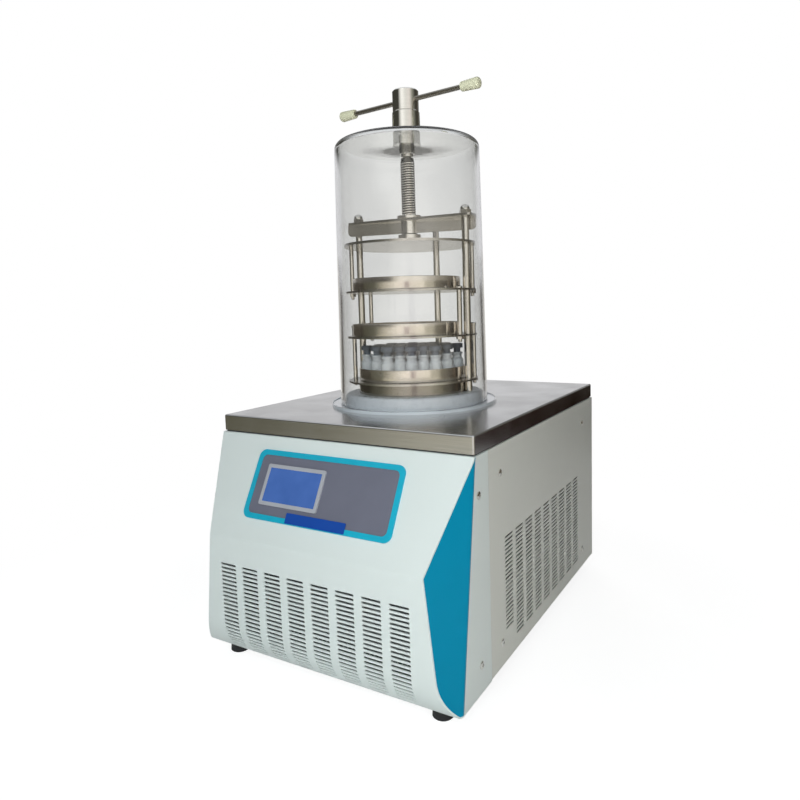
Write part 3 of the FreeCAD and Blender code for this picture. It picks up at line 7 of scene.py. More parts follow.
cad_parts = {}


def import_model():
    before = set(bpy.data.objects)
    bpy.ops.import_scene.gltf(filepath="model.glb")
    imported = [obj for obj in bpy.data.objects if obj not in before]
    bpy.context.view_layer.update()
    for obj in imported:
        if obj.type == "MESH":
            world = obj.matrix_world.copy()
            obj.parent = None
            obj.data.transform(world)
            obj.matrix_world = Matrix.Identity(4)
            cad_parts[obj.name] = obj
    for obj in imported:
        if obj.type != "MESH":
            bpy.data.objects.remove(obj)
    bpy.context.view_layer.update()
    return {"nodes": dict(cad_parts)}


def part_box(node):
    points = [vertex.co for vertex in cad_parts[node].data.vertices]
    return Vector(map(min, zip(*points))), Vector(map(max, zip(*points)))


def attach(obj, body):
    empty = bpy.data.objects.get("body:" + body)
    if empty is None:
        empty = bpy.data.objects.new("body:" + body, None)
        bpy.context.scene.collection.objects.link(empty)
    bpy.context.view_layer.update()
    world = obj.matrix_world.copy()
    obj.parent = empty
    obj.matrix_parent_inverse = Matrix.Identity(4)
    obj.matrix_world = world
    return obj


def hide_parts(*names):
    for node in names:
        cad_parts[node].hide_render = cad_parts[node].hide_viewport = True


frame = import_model()
nodes = frame["nodes"]

MM = 0.001

# ---------------------------------------------------------------- view and light
CAMERA_PLACE = (0.582646, -0.981346, 0.548884)
CAMERA_HEADING = 29.81        # degrees to the left of +Y
CAMERA_DIP = 5.82             # degrees below the horizon
CAMERA_ROLL = -1.613          # degrees
CAMERA_LENS = 29.088          # millimetres
CAMERA_SENSOR = 36.0          # millimetres
CAMERA_SHIFT = (-0.03574, -0.04108)
CAMERA_REACH = 50.0           # metres that the camera sees

SKY = 0.20                    # light that the world gives to matt surfaces from its bright side
SKY_SHADE = 0.02              # the same from its dark side
SKY_HEADING = -115.0          # azimuth of the bright side, degrees
SKY_RISE = 0.3                # upward part of the bright side's direction
SKY_SPAN = (-0.6, 0.5)        # share of that direction where the dark side passes into the bright one
NEUTRAL = (1.0, 1.0, 1.0)     # colours of the lamps
COOL = (0.90, 1.0, 1.03)
WARM = (1.06, 1.0, 0.93)
LAMPS = (                     # name, place, aim, size, power, colour
    ("key", (0.60, -1.40, 0.95), (0.0, -0.15, 0.28), 0.7, 10.4, COOL),
    ("side", (0.98, -0.90, 0.45), (0.2, -0.20, 0.18), 0.4, 2.5, WARM),
    ("fill", (-1.30, -1.60, 1.40), (0.0, -0.10, 0.35), 1.4, 2.4, COOL),
    ("back", (-1.10, 2.10, 1.30), (0.0, 0.10, 0.30), 1.4, 22.0, NEUTRAL),
)
STUDIO_HEADING = -58.8        # azimuth of the middle of the bright side of the studio, degrees
# Colours seen by bare metal, by degrees from that middle, left side negative. There is one ring of them
# for each height in the studio, as the skirt, the trays, the press and the hub each mirror another height.
SKIRT_BANDS = (
    (-180, (0.92, 0.91, 0.88)), (-160, (0.90, 0.89, 0.86)), (-150, (0.06, 0.05, 0.042)),
    (-96, (0.036, 0.028, 0.024)), (-88, (0.13, 0.12, 0.08)), (-72, (0.17, 0.16, 0.11)),
    (-62, (0.56, 0.53, 0.41)), (-52, (0.74, 0.69, 0.54)), (-20, (0.98, 0.93, 0.86)),
    (56, (0.70, 0.66, 0.54)), (64, (0.24, 0.21, 0.16)), (92, (0.04, 0.030, 0.022)),
    (118, (0.032, 0.012, 0.008)), (134, (0.006, 0.004, 0.002)), (150, (0.06, 0.05, 0.042)),
    (160, (0.90, 0.89, 0.86)),
)
TRAY_BANDS = (
    (-180, (0.82, 0.80, 0.76)), (-160, (0.74, 0.72, 0.68)), (-146, (0.07, 0.06, 0.05)),
    (-104, (0.06, 0.05, 0.04)), (-98, (0.12, 0.115, 0.085)), (-70, (0.15, 0.15, 0.115)),
    (-62, (0.30, 0.29, 0.23)), (-48, (0.66, 0.62, 0.52)), (-34, (0.98, 0.93, 0.82)),
    (-16, (1.34, 1.25, 1.14)), (-6, (1.22, 1.13, 1.04)), (-3, (0.66, 0.56, 0.54)),
    (3, (0.66, 0.56, 0.54)), (7, (1.18, 1.10, 1.00)), (34, (1.20, 1.13, 0.98)),
    (40, (0.70, 0.66, 0.54)), (56, (0.56, 0.53, 0.42)), (62, (0.22, 0.20, 0.15)),
    (82, (0.09, 0.075, 0.058)), (92, (0.035, 0.028, 0.022)), (97, (0.20, 0.16, 0.12)),
    (103, (0.03, 0.024, 0.018)), (118, (0.03, 0.024, 0.018)), (124, (0.12, 0.10, 0.08)),
    (130, (0.04, 0.035, 0.03)), (146, (0.07, 0.06, 0.05)), (160, (0.74, 0.72, 0.68)),
)
PRESS_BANDS = (
    (-180, (0.72, 0.72, 0.74)), (-160, (0.78, 0.78, 0.80)), (-140, (0.70, 0.70, 0.71)),
    (-124, (0.16, 0.15, 0.14)), (-60, (0.10, 0.095, 0.085)), (-42, (0.10, 0.095, 0.085)),
    (-33, (0.26, 0.25, 0.22)), (-24, (0.80, 0.77, 0.70)), (-12, (1.25, 1.20, 1.12)),
    (28, (1.25, 1.20, 1.12)), (46, (0.80, 0.77, 0.70)), (70, (0.40, 0.37, 0.31)),
    (100, (0.18, 0.16, 0.13)), (124, (0.15, 0.14, 0.12)), (140, (0.74, 0.74, 0.75)),
    (164, (0.78, 0.78, 0.80)),
)
HUB_BANDS = (
    (-180, (0.6, 0.6, 0.6)), (-168, (0.3, 0.3, 0.3)), (-156, (0.05, 0.05, 0.04)),
    (-66, (0.05, 0.05, 0.04)), (-40, (1.1, 1.1, 1.05)), (-30, (1.2, 1.2, 1.15)), (0, (0.85, 0.85, 0.8)),
    (35, (0.85, 0.8, 0.75)), (60, (0.3, 0.3, 0.25)), (90, (0.05, 0.05, 0.04)),
    (124, (0.05, 0.04, 0.03)), (134, (0.15, 0.15, 0.13)), (150, (0.15, 0.15, 0.13)),
    (160, (0.05, 0.05, 0.05)), (170, (0.3, 0.3, 0.3)),
)
TRAY_START = (-0.15, -0.11)   # heights of the direction where one ring passes into the next
PRESS_START = (0.06, 0.09)
HUB_START = (0.22, 0.25)
DOME_START = (0.42, 0.80)     # the same for the light ceiling
DOME_COLOUR = (0.80, 0.82, 0.84, 1.0)
WHITE = (1.0, 1.0, 1.0, 1.0)
PASSING_TINT = (0.95, 0.95, 0.96, 1.0)    # of light that passes the jar and the vials
FLOOR_RADIUS = 1.4
FLOOR_SIDES = 96
FLOOR_COLOUR = (0.90, 0.90, 0.90, 1.0)
FLOOR_FADE = (0.45, 0.95)     # distances from the middle where the shaded floor passes into plain white
SHADOW_SHARE = 0.30           # how much of the floor's own shade is seen near the object
FLOOR_LIFT = 0.24             # added to the white there, so that the open floor stays white

# ---------------------------------------------------------------- sizes of the finer meshes, millimetres
# SIDES are segments round the axis.
JAR_LEAN = 6.0                # the jar's foot is this much wider than its top, in radius
JAR_WALL = 6.0
JAR_CROWN = 6.0
JAR_SHOULDER = 13.0
JAR_FILLET = 7.0
JAR_HOLE = 10.6
SEAM = 0.001                  # gap that keeps the first and last point of the jar's outline apart
CROWN_CLEARANCE = 0.05        # keeps the crown's faces off the bushing and the nut that clamp it
JAR_SIDES = 256
SPIGOT_LENGTH = 12.3
SPIGOT_RADIUS = 8.0
SCREW_SOCKET = 5.6            # radius of the hollow in the screw's head
SCREW_SOCKET_DEPTH = 40.0
SCREW_FOOT_INSET = 1.2        # edge of the screw's foot inside its outer radius
SCREW_HEAD_INSET = 1.6        # the same for its head
THREAD_PITCH = 4.0
THREAD_DEPTH = 1.3
THREAD_RELIEF = 4.0           # plain end above the thread
THREAD_SIDES = 48
THREAD_ROWS = 8               # rows of points in each turn of the thread
CREST_PEAK = 1.35             # the crest is flat where this profile is cut off at 1
CREST_SLOPE = 1.7
SHADED_ROOT_SHARE = 0.75             # painted shade: the steel is darkened deeper than this share of the thread's depth
CREST_SHARE = 0.25            # and bright above this one
VIAL_RADIUS = 11.0
VIAL_NECK = 8.1
VIAL_LIP = 9.7
VIAL_LIP_HEIGHT = 4.0
VIAL_MOUTH = 6.3
VIAL_WALL = 1.2
VIAL_BODY = 29.0
VIAL_SHOULDER = 33.0
VIAL_DISH = 0.6               # rise of the bottom at its centre
VIAL_DISH_EDGE = 3.0          # edge of that rise inside the vial's radius
VIAL_SIDES = 28
STOPPER_RADIUS = 10.3
STOPPER_PLUG = 6.0
STOPPER_PLUG_CHAMFER = (0.8, 1.5)
STOPPER_HOLLOW = 3.0          # radius and depth of the hollow in the plug
STOPPER_FLANGE = 8.0
STOPPER_RING = (4.8, 6.0)     # radii of the floor of the groove in the top
STOPPER_RING_SLOPE = 0.4
STOPPER_RING_DEPTH = 0.5
STOPPER_SIDES = 24
TRAY_SHEET = 1.2
TRAY_RIM = 2.2                # height of the folded rim
TRAY_RIM_SLOPE = 0.1
TRAY_SIDES = 160
GRIP_START = 112.0            # from the screw's axis to the near end of a grip
GRIP_LENGTH = 33.5
GRIP_INNER = 7.6
GRIP_OUTER = 9.0
GRIP_INNER_ROUND = 2.5
GRIP_OUTER_ROUND = 5.0
GRIP_BORE = 4.1
GRIP_DEPTH = 18.2
GRIP_SIDES = 48
ROD_TURN = -6.0               # degrees

# ---------------------------------------------------------------- places read from the frame
jar_low, jar_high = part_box("bell_jar")
AXIS = Vector(((jar_low.x + jar_high.x) / 2, (jar_low.y + jar_high.y) / 2, 0.0))


# ---------------------------------------------------------------- materials
def srgb(red, green, blue):
    """Linear colour from 0-255 display values."""
    def linear(v):
        v /= 255.0
        return v / 12.92 if v <= 0.04045 else ((v + 0.055) / 1.055) ** 2.4
    return (linear(red), linear(green), linear(blue), 1.0)


class Nodes:
    """Short calls for a world's or material's node tree."""

    def __init__(self, tree):
        self.tree = tree

    def make(self, kind, **inputs):
        """New node; an input's name has _ for each space."""
        made = self.tree.nodes.new(kind)
        for key, value in inputs.items():
            made.inputs[key.replace("_", " ")].default_value = value
        return made

    def math(self, operation, first, second=0.0, third=0.0):
        made = self.tree.nodes.new("ShaderNodeMath")
        made.operation = operation
        for socket, value in zip(made.inputs, (first, second, third)):
            self.put(value, socket)
        return made.outputs[0]

    def vector(self, operation, first, second=(0.0, 0.0, 0.0)):
        made = self.tree.nodes.new("ShaderNodeVectorMath")
        made.operation = operation
        for socket, value in zip(made.inputs, (first, second)):
            self.put(value, socket)
        return made.outputs["Value" if operation in ("DOT_PRODUCT", "LENGTH") else "Vector"]

    def mix_shader(self, factor, first, second):
        made = self.tree.nodes.new("ShaderNodeMixShader")
        for socket, value in zip(made.inputs, (factor, first, second)):
            self.put(value, socket)
        return made.outputs[0]

    def span(self, value, start, end):
        """0 at start, 1 at end, smooth between."""
        made = self.make("ShaderNodeMapRange", From_Min=start, From_Max=end)
        made.interpolation_type = "SMOOTHSTEP"
        self.put(value, made.inputs["Value"])
        return made.outputs["Result"]

    def mix_colour(self, factor, first, second):
        made = self.tree.nodes.new("ShaderNodeMix")
        made.data_type = "RGBA"
        sockets = [made.inputs["Factor"]] + [socket for socket in made.inputs if socket.type == "RGBA"]
        for socket, value in zip(sockets, (factor, first, second)):
            self.put(value, socket)
        return [socket for socket in made.outputs if socket.type == "RGBA"][0]

    def ramp(self, factor, *stops):
        """Value or colour ramp; each stop is (place, value or colour)."""
        made = self.make("ShaderNodeValToRGB")
        elements = made.color_ramp.elements
        while len(elements) < len(stops):
            elements.new(0.5)
        for element, (place, value) in zip(elements, stops):
            element.position = place
            element.color = value if isinstance(value, tuple) else (value, value, value, 1.0)
        self.put(factor, made.inputs["Fac"])
        return made.outputs["Color"]

    def put(self, value, socket):
        """Links a socket to another, or sets its value."""
        if isinstance(value, bpy.types.NodeSocket):
            self.tree.links.new(value, socket)
        else:
            socket.default_value = value


class Finish(Nodes):
    """A Principled material that is built up step by step."""

    def __init__(self, name, colour, roughness, metallic=0.0, **sockets):
        self.material = bpy.data.materials.new(name)
        self.material.use_nodes = True
        super().__init__(self.material.node_tree)
        self.shader = self.tree.nodes["Principled BSDF"]
        self.output = self.tree.nodes["Material Output"]
        self.colour = colour
        self.roughness = roughness
        self.shader.inputs["Base Color"].default_value = colour
        self.shader.inputs["Roughness"].default_value = roughness
        self.shader.inputs["Metallic"].default_value = metallic
        for socket, value in sockets.items():
            self.shader.inputs[socket.replace("_", " ")].default_value = value
        self.normal = None
        self.material.diffuse_color = colour

    def coordinates(self, stretch=(1.0, 1.0, 1.0)):
        """Object coordinates, stretched for each axis."""
        place = self.make("ShaderNodeTexCoord")
        mapping = self.make("ShaderNodeMapping", Scale=stretch)
        self.put(place.outputs["Object"], mapping.inputs["Vector"])
        return mapping.outputs["Vector"]

    def noise(self, scale, detail=3.0, stretch=(1.0, 1.0, 1.0), rough=0.5):
        texture = self.make("ShaderNodeTexNoise", Scale=scale, Detail=detail, Roughness=rough)
        self.put(self.coordinates(stretch), texture.inputs["Vector"])
        return texture.outputs["Fac"]

    def shade(self, factor, spread, low=0.3, high=0.7):
        """The base colour varies by a share of itself, either way."""
        dark = tuple(c * (1 - spread) for c in self.colour[:3]) + (1.0,)
        light = tuple(min(1.0, c * (1 + spread)) for c in self.colour[:3]) + (1.0,)
        self.put(self.ramp(factor, (low, dark), (high, light)), self.shader.inputs["Base Color"])
        return self

    def gloss(self, factor, spread, low=0.3, high=0.7):
        """The roughness varies by an amount, either way."""
        glossy, dull = max(0.02, self.roughness - spread), self.roughness + spread
        self.put(self.ramp(factor, (low, glossy), (high, dull)), self.shader.inputs["Roughness"])
        return self

    def bump(self, height, distance, strength=0.5):
        """Relief in metres; calls add up."""
        made = self.make("ShaderNodeBump", Distance=distance, Strength=strength)
        self.put(height, made.inputs["Height"])
        if self.normal is not None:
            self.put(self.normal, made.inputs["Normal"])
        self.normal = made.outputs["Normal"]
        self.put(self.normal, self.shader.inputs["Normal"])
        return self

    def soft_edges(self, radius):
        """Edges catch the light as if they were rounded."""
        made = self.make("ShaderNodeBevel", Radius=radius)
        made.samples = 4
        self.normal = made.outputs["Normal"]
        self.put(self.normal, self.shader.inputs["Normal"])
        return self


def powder_coat(name, colour, roughness=0.36, specular=0.4, edges=0.6):
    """Enamel with a fine orange peel and faint clouds."""
    made = Finish(name, colour, roughness, Specular_IOR_Level=specular)
    made.soft_edges(edges * MM)
    made.shade(made.noise(5.0, 4.0), 0.018)
    made.gloss(made.noise(60.0, 3.0), 0.05)
    made.bump(made.noise(850.0, 2.0), 0.04 * MM, 0.30)
    return made.material


def moulded(name, colour, roughness=0.4, grain=1400.0, **sockets):
    """Moulded plastic or rubber with a fine grain."""
    made = Finish(name, colour, roughness, **sockets)
    made.soft_edges(0.5 * MM)
    made.shade(made.noise(30.0, 3.0), 0.03)
    made.gloss(made.noise(120.0, 2.0), 0.06)
    made.bump(made.noise(grain, 2.0), 0.01 * MM, 0.25)
    return made.material


def brushed(name, colour, roughness, stretch, spread=0.10, lines=900.0, edges=0.4, relief=0.02):
    """Steel brushed along the axis with the small stretch."""
    made = Finish(name, colour, roughness, metallic=1.0)
    if edges:
        made.soft_edges(edges * MM)
    grain = made.noise(lines, 5.0, stretch, rough=0.65)
    made.shade(grain, spread)
    made.gloss(made.noise(14.0, 4.0), 0.2 * roughness)
    made.bump(grain, relief * MM, 0.25)
    return made.material


FINISHES = {
    # The cover and the side panels share one white paint: the cover's copy is tinted cool as painted
    # light, the side panels' copy is made darker and warm as painted shade.
    "white_enamel": powder_coat("white_enamel", srgb(233, 240, 237), edges=1.5),
    "grey_enamel": powder_coat("grey_enamel", srgb(228, 228, 220), edges=2.0),
    "blue_enamel": powder_coat("blue_enamel", srgb(0, 136, 172), 0.34, 0.12),
    "dark_enamel": powder_coat("dark_enamel", srgb(60, 60, 62), 0.5),
    "plate_steel": brushed("plate_steel", srgb(204, 204, 204), 0.20, (0.012, 1.0, 1.0), edges=0.0),
    "sheet_steel": brushed("sheet_steel", srgb(236, 230, 222), 0.12, (1.0, 1.0, 0.02), 0.05,
                           edges=0.0, relief=0.004),
    "ring_steel": brushed("ring_steel", srgb(158, 153, 144), 0.12, (1.0, 1.0, 0.02), 0.05,
                          edges=0.0, relief=0.004),
    "shelf_steel": brushed("shelf_steel", srgb(206, 204, 200), 0.20, (0.02, 1.0, 1.0), 0.05,
                           edges=0.0, relief=0.004),
    "turned_steel": brushed("turned_steel", srgb(232, 230, 226), 0.12, (0.03, 0.03, 1.0), 0.05,
                            1500.0, relief=0.006),
    "dull_steel": brushed("dull_steel", srgb(150, 146, 138), 0.34, (1.0, 0.03, 1.0), 0.08),
    "bronze": brushed("bronze", srgb(176, 150, 96), 0.34, (0.03, 0.03, 1.0), 0.08),
    "copper": brushed("copper", srgb(196, 128, 96), 0.32, (1.0, 1.0, 1.0), 0.10, 120.0),
    "aluminium": brushed("aluminium", srgb(205, 206, 208), 0.34, (1.0, 0.05, 0.05), 0.06),
    "foot_rubber": moulded("foot_rubber", srgb(34, 34, 36), 0.62),
    "border_cyan": moulded("border_cyan", srgb(14, 180, 210), 0.34),
    "panel_grey": moulded("panel_grey", srgb(116, 117, 132), 0.36),
    "screen_frame": moulded("screen_frame", srgb(182, 183, 190), 0.34),
    "strip_blue": moulded("strip_blue", srgb(12, 74, 170), 0.34),
    "white_plastic": moulded("white_plastic", srgb(226, 230, 234), 0.30),
    "silicone": moulded("silicone", srgb(206, 212, 218), 0.14, Coat_Weight=0.8, Coat_Roughness=0.06),
    "stopper_rubber": moulded("stopper_rubber", srgb(104, 111, 120), 0.36),
    "black_foam": moulded("black_foam", srgb(38, 38, 38), 0.85, 300.0),
    "black_plastic": moulded("black_plastic", srgb(28, 28, 30), 0.42),
    "black_enamel": powder_coat("black_enamel", srgb(24, 24, 24), 0.3),
    "lever_blue": moulded("lever_blue", srgb(20, 70, 160), 0.4),
    "board_green": moulded("board_green", srgb(22, 92, 56), 0.45),
    "hose_clear": moulded("hose_clear", srgb(214, 218, 220), 0.3),
}


def screen_finish():
    """Lit blue screen under glass, with plain darker fields and no lettering."""
    made = Finish("screen_lit", srgb(40, 58, 110), 0.12, Coat_Weight=0.6, Coat_Roughness=0.05)
    clouds = made.ramp(made.noise(30.0, 2.0), (0.3, srgb(60, 98, 160)), (0.7, srgb(72, 110, 176)))
    made.put(clouds, made.shader.inputs["Emission Color"])
    made.shader.inputs["Emission Strength"].default_value = 0.75
    return made.material


def clear(name, tint, roughness=0.0, ior=1.49, waves=0.0, weight=1.0):
    """Clear plastic or glass; shadow rays and rays off matt surfaces pass straight through it."""
    made = Finish(name, tint, roughness, Transmission_Weight=weight, IOR=ior)
    if waves:
        made.bump(made.noise(26.0, 2.0, (1.0, 1.0, 0.06)), waves, 0.4)
    path = made.make("ShaderNodeLightPath")
    passing = made.math("MAXIMUM", path.outputs["Is Shadow Ray"], path.outputs["Is Diffuse Ray"])
    through = made.make("ShaderNodeBsdfTransparent", Color=PASSING_TINT)
    surface = made.mix_shader(passing, made.shader.outputs[0], through.outputs[0])
    made.put(surface, made.output.inputs["Surface"])
    return made.material


def screw_radius():
    """Outer radius of the press screw's thread, in metres."""
    low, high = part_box("press_screw")
    return (high.x - low.x) / 2


def screw_finish():
    """Rolled thread with bright crests and painted shade in the roots, found by the distance from the
    axis.
    """
    made = Finish("screw_steel", srgb(246, 243, 238), 0.16, metallic=1.0)
    place = made.make("ShaderNodeTexCoord").outputs["Object"]
    outward = made.vector("MULTIPLY", made.vector("SUBTRACT", place, AXIS), (1.0, 1.0, 0.0))
    root = screw_radius() - SHADED_ROOT_SHARE * THREAD_DEPTH * MM
    crest = screw_radius() - CREST_SHARE * THREAD_DEPTH * MM
    height = made.make("ShaderNodeMapRange", From_Min=root, From_Max=crest)
    made.put(made.vector("LENGTH", outward), height.inputs["Value"])
    # Painted shade: the roots get a dark colour that stands in for the shade in the thread's grooves.
    steel = made.ramp(height.outputs["Result"], (0.0, srgb(104, 101, 97)), (1.0, made.colour))
    made.put(steel, made.shader.inputs["Base Color"])
    return made.material


def grip_finish():
    """Matt cream plastic, without grain, so that the small grips stay clean."""
    made = Finish("grip_cream", srgb(250, 247, 214), 0.60, Specular_IOR_Level=0.15)
    made.shade(made.noise(20.0), 0.02)
    return made.material


FINISHES["screen_lit"] = screen_finish()
FINISHES["screw_steel"] = screw_finish()
FINISHES["grip_cream"] = grip_finish()
FINISHES["clear_jar"] = clear("clear_jar", (0.85, 0.855, 0.85, 1.0), waves=0.25 * MM)
FINISHES["clear_glass"] = clear("clear_glass", (0.86, 0.88, 0.88, 1.0), 0.05, ior=1.45, weight=0.45)

NODE_FINISH = {
    "white_enamel": ["front_cover"],
    "grey_enamel": ["side_panel_left", "side_panel_right", "rear_panel"],
    "blue_enamel": ["cheek_left", "cheek_right"],
    "dark_enamel": ["frame", "base_pan", "fan_housing"],
    "plate_steel": ["top_plate"],
    "sheet_steel": ["tray_lower", "tray_middle", "tray_upper", "cold_trap"],
    "ring_steel": ["rack_ring"],
    "shelf_steel": ["shelf_lower", "shelf_middle", "shelf_upper", "press_disc", "crossbar", "vacuum_port"],
    "turned_steel": ["rack_posts", "cap_nuts", "lower_rods", "press_rods", "press_pad", "press_screw",
                     "jar_bushing", "jar_nut", "handle_hub", "panel_screws", "screw_nut"],
    "dull_steel": ["cross_rod"],
    "bronze": ["drain_valve"],
    "copper": ["evaporator_coil", "discharge_line", "liquid_line", "suction_line"],
    "aluminium": ["condenser"],
    "foot_rubber": ["feet"],
    "border_cyan": ["display_border"],
    "panel_grey": ["display_panel"],
    "screen_frame": ["touch_screen"],
    "screen_lit": ["screen_glass"],
    "strip_blue": ["name_strip"],
    "white_plastic": ["trap_collar"],
    "silicone": ["jar_gasket"],
    "stopper_rubber": ["stoppers"],
    "grip_cream": ["grips"],
    "black_foam": ["trap_insulation"],
    "black_plastic": ["fan_blades", "mains_inlet", "switch_housing", "switch_rocker"],
    "black_enamel": ["compressor"],
    "lever_blue": ["drain_lever"],
    "board_green": ["control_board"],
    "hose_clear": ["drain_hose"],
    "clear_jar": ["bell_jar"],
    "clear_glass": ["vials"],
}
for finish, names in NODE_FINISH.items():
    for name in names:
        nodes[name].data.materials.clear()
        nodes[name].data.materials.append(FINISHES[finish])


# ---------------------------------------------------------------- finer meshes in place of some CAD nodes
def rounded(corners, steps=6):
    """Outline in (radius, height) millimetres; each corner is (r, z) or (r, z, rounding)."""
    points = [Vector(c[:2]) for c in corners]
    outline = []
    for i, corner in enumerate(corners):
        fillet = corner[2] if len(corner) > 2 else 0.0
        here = points[i]
        before = points[i - 1] - here if i else Vector((0, 0))
        after = points[i + 1] - here if i + 1 < len(points) else Vector((0, 0))
        if not fillet or not before.length or not after.length:
            outline.append(tuple(here))
            continue
        a, b = before.normalized(), after.normalized()
        half = a.angle(b) / 2
        reach = min(fillet / math.tan(half), 0.49 * before.length, 0.49 * after.length)
        radius = reach * math.tan(half)
        centre = here + (a + b).normalized() * (radius / math.sin(half))
        first, last = here + a * reach - centre, here + b * reach - centre
        turn = first.angle_signed(last)
        for k in range(steps + 1):
            spin = Matrix.Rotation(-turn * k / steps, 2)
            outline.append(tuple(centre + spin @ first))
    return outline


def lathe_data(outline, steps, centre=(0.0, 0.0)):
    """Vertices and faces of an outline turned about an upright axis, in metres."""
    vertices, faces, rings = [], [], []
    for r, z in outline:
        if r < 1e-6:
            rings.append([len(vertices)] * steps)
            vertices.append((centre[0], centre[1], z * MM))
            continue
        rings.append(list(range(len(vertices), len(vertices) + steps)))
        for k in range(steps):
            a = k * math.tau / steps
            vertices.append((centre[0] + r * MM * math.cos(a), centre[1] + r * MM * math.sin(a), z * MM))
    for low, high in zip(rings, rings[1:]):
        for k in range(steps):
            n = (k + 1) % steps
            face = [low[k], low[n], high[n], high[k]]
            face = [v for i, v in enumerate(face) if v not in face[:i]]
            if len(face) > 2:
                faces.append(face)
    return vertices, faces


def piece(name, parts, finish, node, body, sharp=35.0):
    """One object from (vertices, faces) parts; it stands for a CAD node."""
    vertices, faces = [], []
    for part_vertices, part_faces in parts:
        base = len(vertices)
        vertices += part_vertices
        faces += [[base + v for v in face] for face in part_faces]
    mesh = bpy.data.meshes.new(name)
    mesh.from_pydata(vertices, [], faces)
    mesh.validate()
    mesh.shade_smooth()
    mesh.set_sharp_from_angle(angle=math.radians(sharp))
    mesh.materials.append(FINISHES[finish])
    made = bpy.data.objects.new(name, mesh)
    bpy.context.scene.collection.objects.link(made)
    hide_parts(node)
    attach(made, body)
    return made


def jar_shell():
    """Clear jar with soft edges, from the frame's box of the jar."""
    low, high = jar_low.z / MM, jar_high.z / MM - CROWN_CLEARANCE
    foot = (jar_high.x - jar_low.x) / 2 / MM
    top = foot - JAR_LEAN
    ceiling = high - JAR_CROWN + 2 * CROWN_CLEARANCE
    inner = foot - JAR_WALL
    outline = rounded([(inner, low, 1.0), (foot, low, 1.5), (top, high, JAR_SHOULDER),
                       (JAR_HOLE, high, 0.4), (JAR_HOLE, ceiling, 0.4),
                       (top - JAR_WALL, ceiling, JAR_FILLET), (inner, low + SEAM)], 10)
    parts = [lathe_data(outline, JAR_SIDES, AXIS[:2])]
    piece("jar_shell", parts, "clear_jar", "bell_jar", "jar", 60.0)


def threaded_screw():
    """Press screw with its thread, a plain shoulder and a spigot."""
    low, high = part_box("press_screw")
    z0, z1 = low.z / MM, high.z / MM
    r = (high.x - low.x) / 2 / MM
    start = z0 + SPIGOT_LENGTH
    root = r - THREAD_DEPTH
    rows = int((z1 - THREAD_RELIEF - start) / THREAD_PITCH * THREAD_ROWS)
    vertices, faces = [], []
    for i in range(rows + 1):
        z = start + i * THREAD_PITCH / THREAD_ROWS
        fade = min(1.0, i / THREAD_ROWS, (rows - i) / THREAD_ROWS)
        for k in range(THREAD_SIDES):
            phase = (i / THREAD_ROWS - k / THREAD_SIDES) % 1.0
            crest = min(1.0, max(0.0, CREST_PEAK - abs(2 * phase - 1) * CREST_SLOPE))
            radius = (root + THREAD_DEPTH * crest * fade) * MM
            a = k * math.tau / THREAD_SIDES
            vertices.append((AXIS.x + radius * math.cos(a), AXIS.y + radius * math.sin(a), z * MM))
    for i in range(rows):
        low_row, high_row = i * THREAD_SIDES, (i + 1) * THREAD_SIDES
        for k in range(THREAD_SIDES):
            n = (k + 1) % THREAD_SIDES
            faces.append([low_row + k, low_row + n, high_row + n, high_row + k])
    top = start + rows * THREAD_PITCH / THREAD_ROWS
    shoulder, neck = r - SCREW_FOOT_INSET, r - SCREW_HEAD_INSET
    socket, floor_z = SCREW_SOCKET, z1 - SCREW_SOCKET_DEPTH
    foot = rounded([(0, z0), (SPIGOT_RADIUS, z0, 0.5), (SPIGOT_RADIUS, start), (shoulder, start, 0.3),
                    (root, start + 0.01)], 3)
    head = rounded([(root, top - 0.01), (neck, top, 0.2), (neck, z1, 0.8), (socket, z1, 0.3),
                    (socket, floor_z), (0, floor_z)], 3)
    parts = [(vertices, faces)] + [lathe_data(end, THREAD_SIDES, AXIS[:2]) for end in (foot, head)]
    piece("press_thread", parts, "screw_steel", "press_screw", "screw", 25.0)


def vial_places(node):
    """Axes of the vials or stoppers, from the middle of each loose piece of a node's mesh."""
    mesh = nodes[node].data
    parent = list(range(len(mesh.vertices)))

    def top(v):
        while parent[v] != v:
            parent[v] = parent[parent[v]]
            v = parent[v]
        return v

    seen = {}
    for i, vertex in enumerate(mesh.vertices):
        key = tuple(round(c, 5) for c in vertex.co)
        parent[i] = seen.setdefault(key, i)
    for edge in mesh.edges:
        a, b = top(edge.vertices[0]), top(edge.vertices[1])
        if a != b:
            parent[a] = b
    groups = {}
    for i, vertex in enumerate(mesh.vertices):
        groups.setdefault(top(i), []).append(vertex.co)
    places = []
    for group in groups.values():
        xs, ys = [c.x for c in group], [c.y for c in group]
        places.append(((min(xs) + max(xs)) / 2, (min(ys) + max(ys)) / 2))
    return sorted(places)


def vials():
    """Moulded glass vials with a rounded shoulder, a neck and a rolled lip."""
    low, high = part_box("vials")
    z, top = low.z / MM, high.z / MM
    r, neck, lip, mouth = VIAL_RADIUS, VIAL_NECK, VIAL_LIP, VIAL_MOUTH
    body, start = z + VIAL_BODY, z + VIAL_SHOULDER
    t, dish = VIAL_WALL, VIAL_DISH
    lip_z = top - VIAL_LIP_HEIGHT
    outline = rounded([(0, z + dish), (r - VIAL_DISH_EDGE, z), (r, z, 1.2), (r, body, 2.5),
                       (neck, start, 1.2), (neck, lip_z - 0.2, 0.4), (lip, lip_z, 0.8), (lip, top, 0.8),
                       (mouth, top, 0.4), (mouth, start + 1, 1.0), (r - t, body - 0.5, 2.0),
                       (r - t, z + t, 1.2), (0, z + t + dish)], 3)
    parts = [lathe_data(outline, VIAL_SIDES, place) for place in vial_places("vials")]
    piece("vial_glass", parts, "clear_glass", "vials", "cabinet", 50.0)


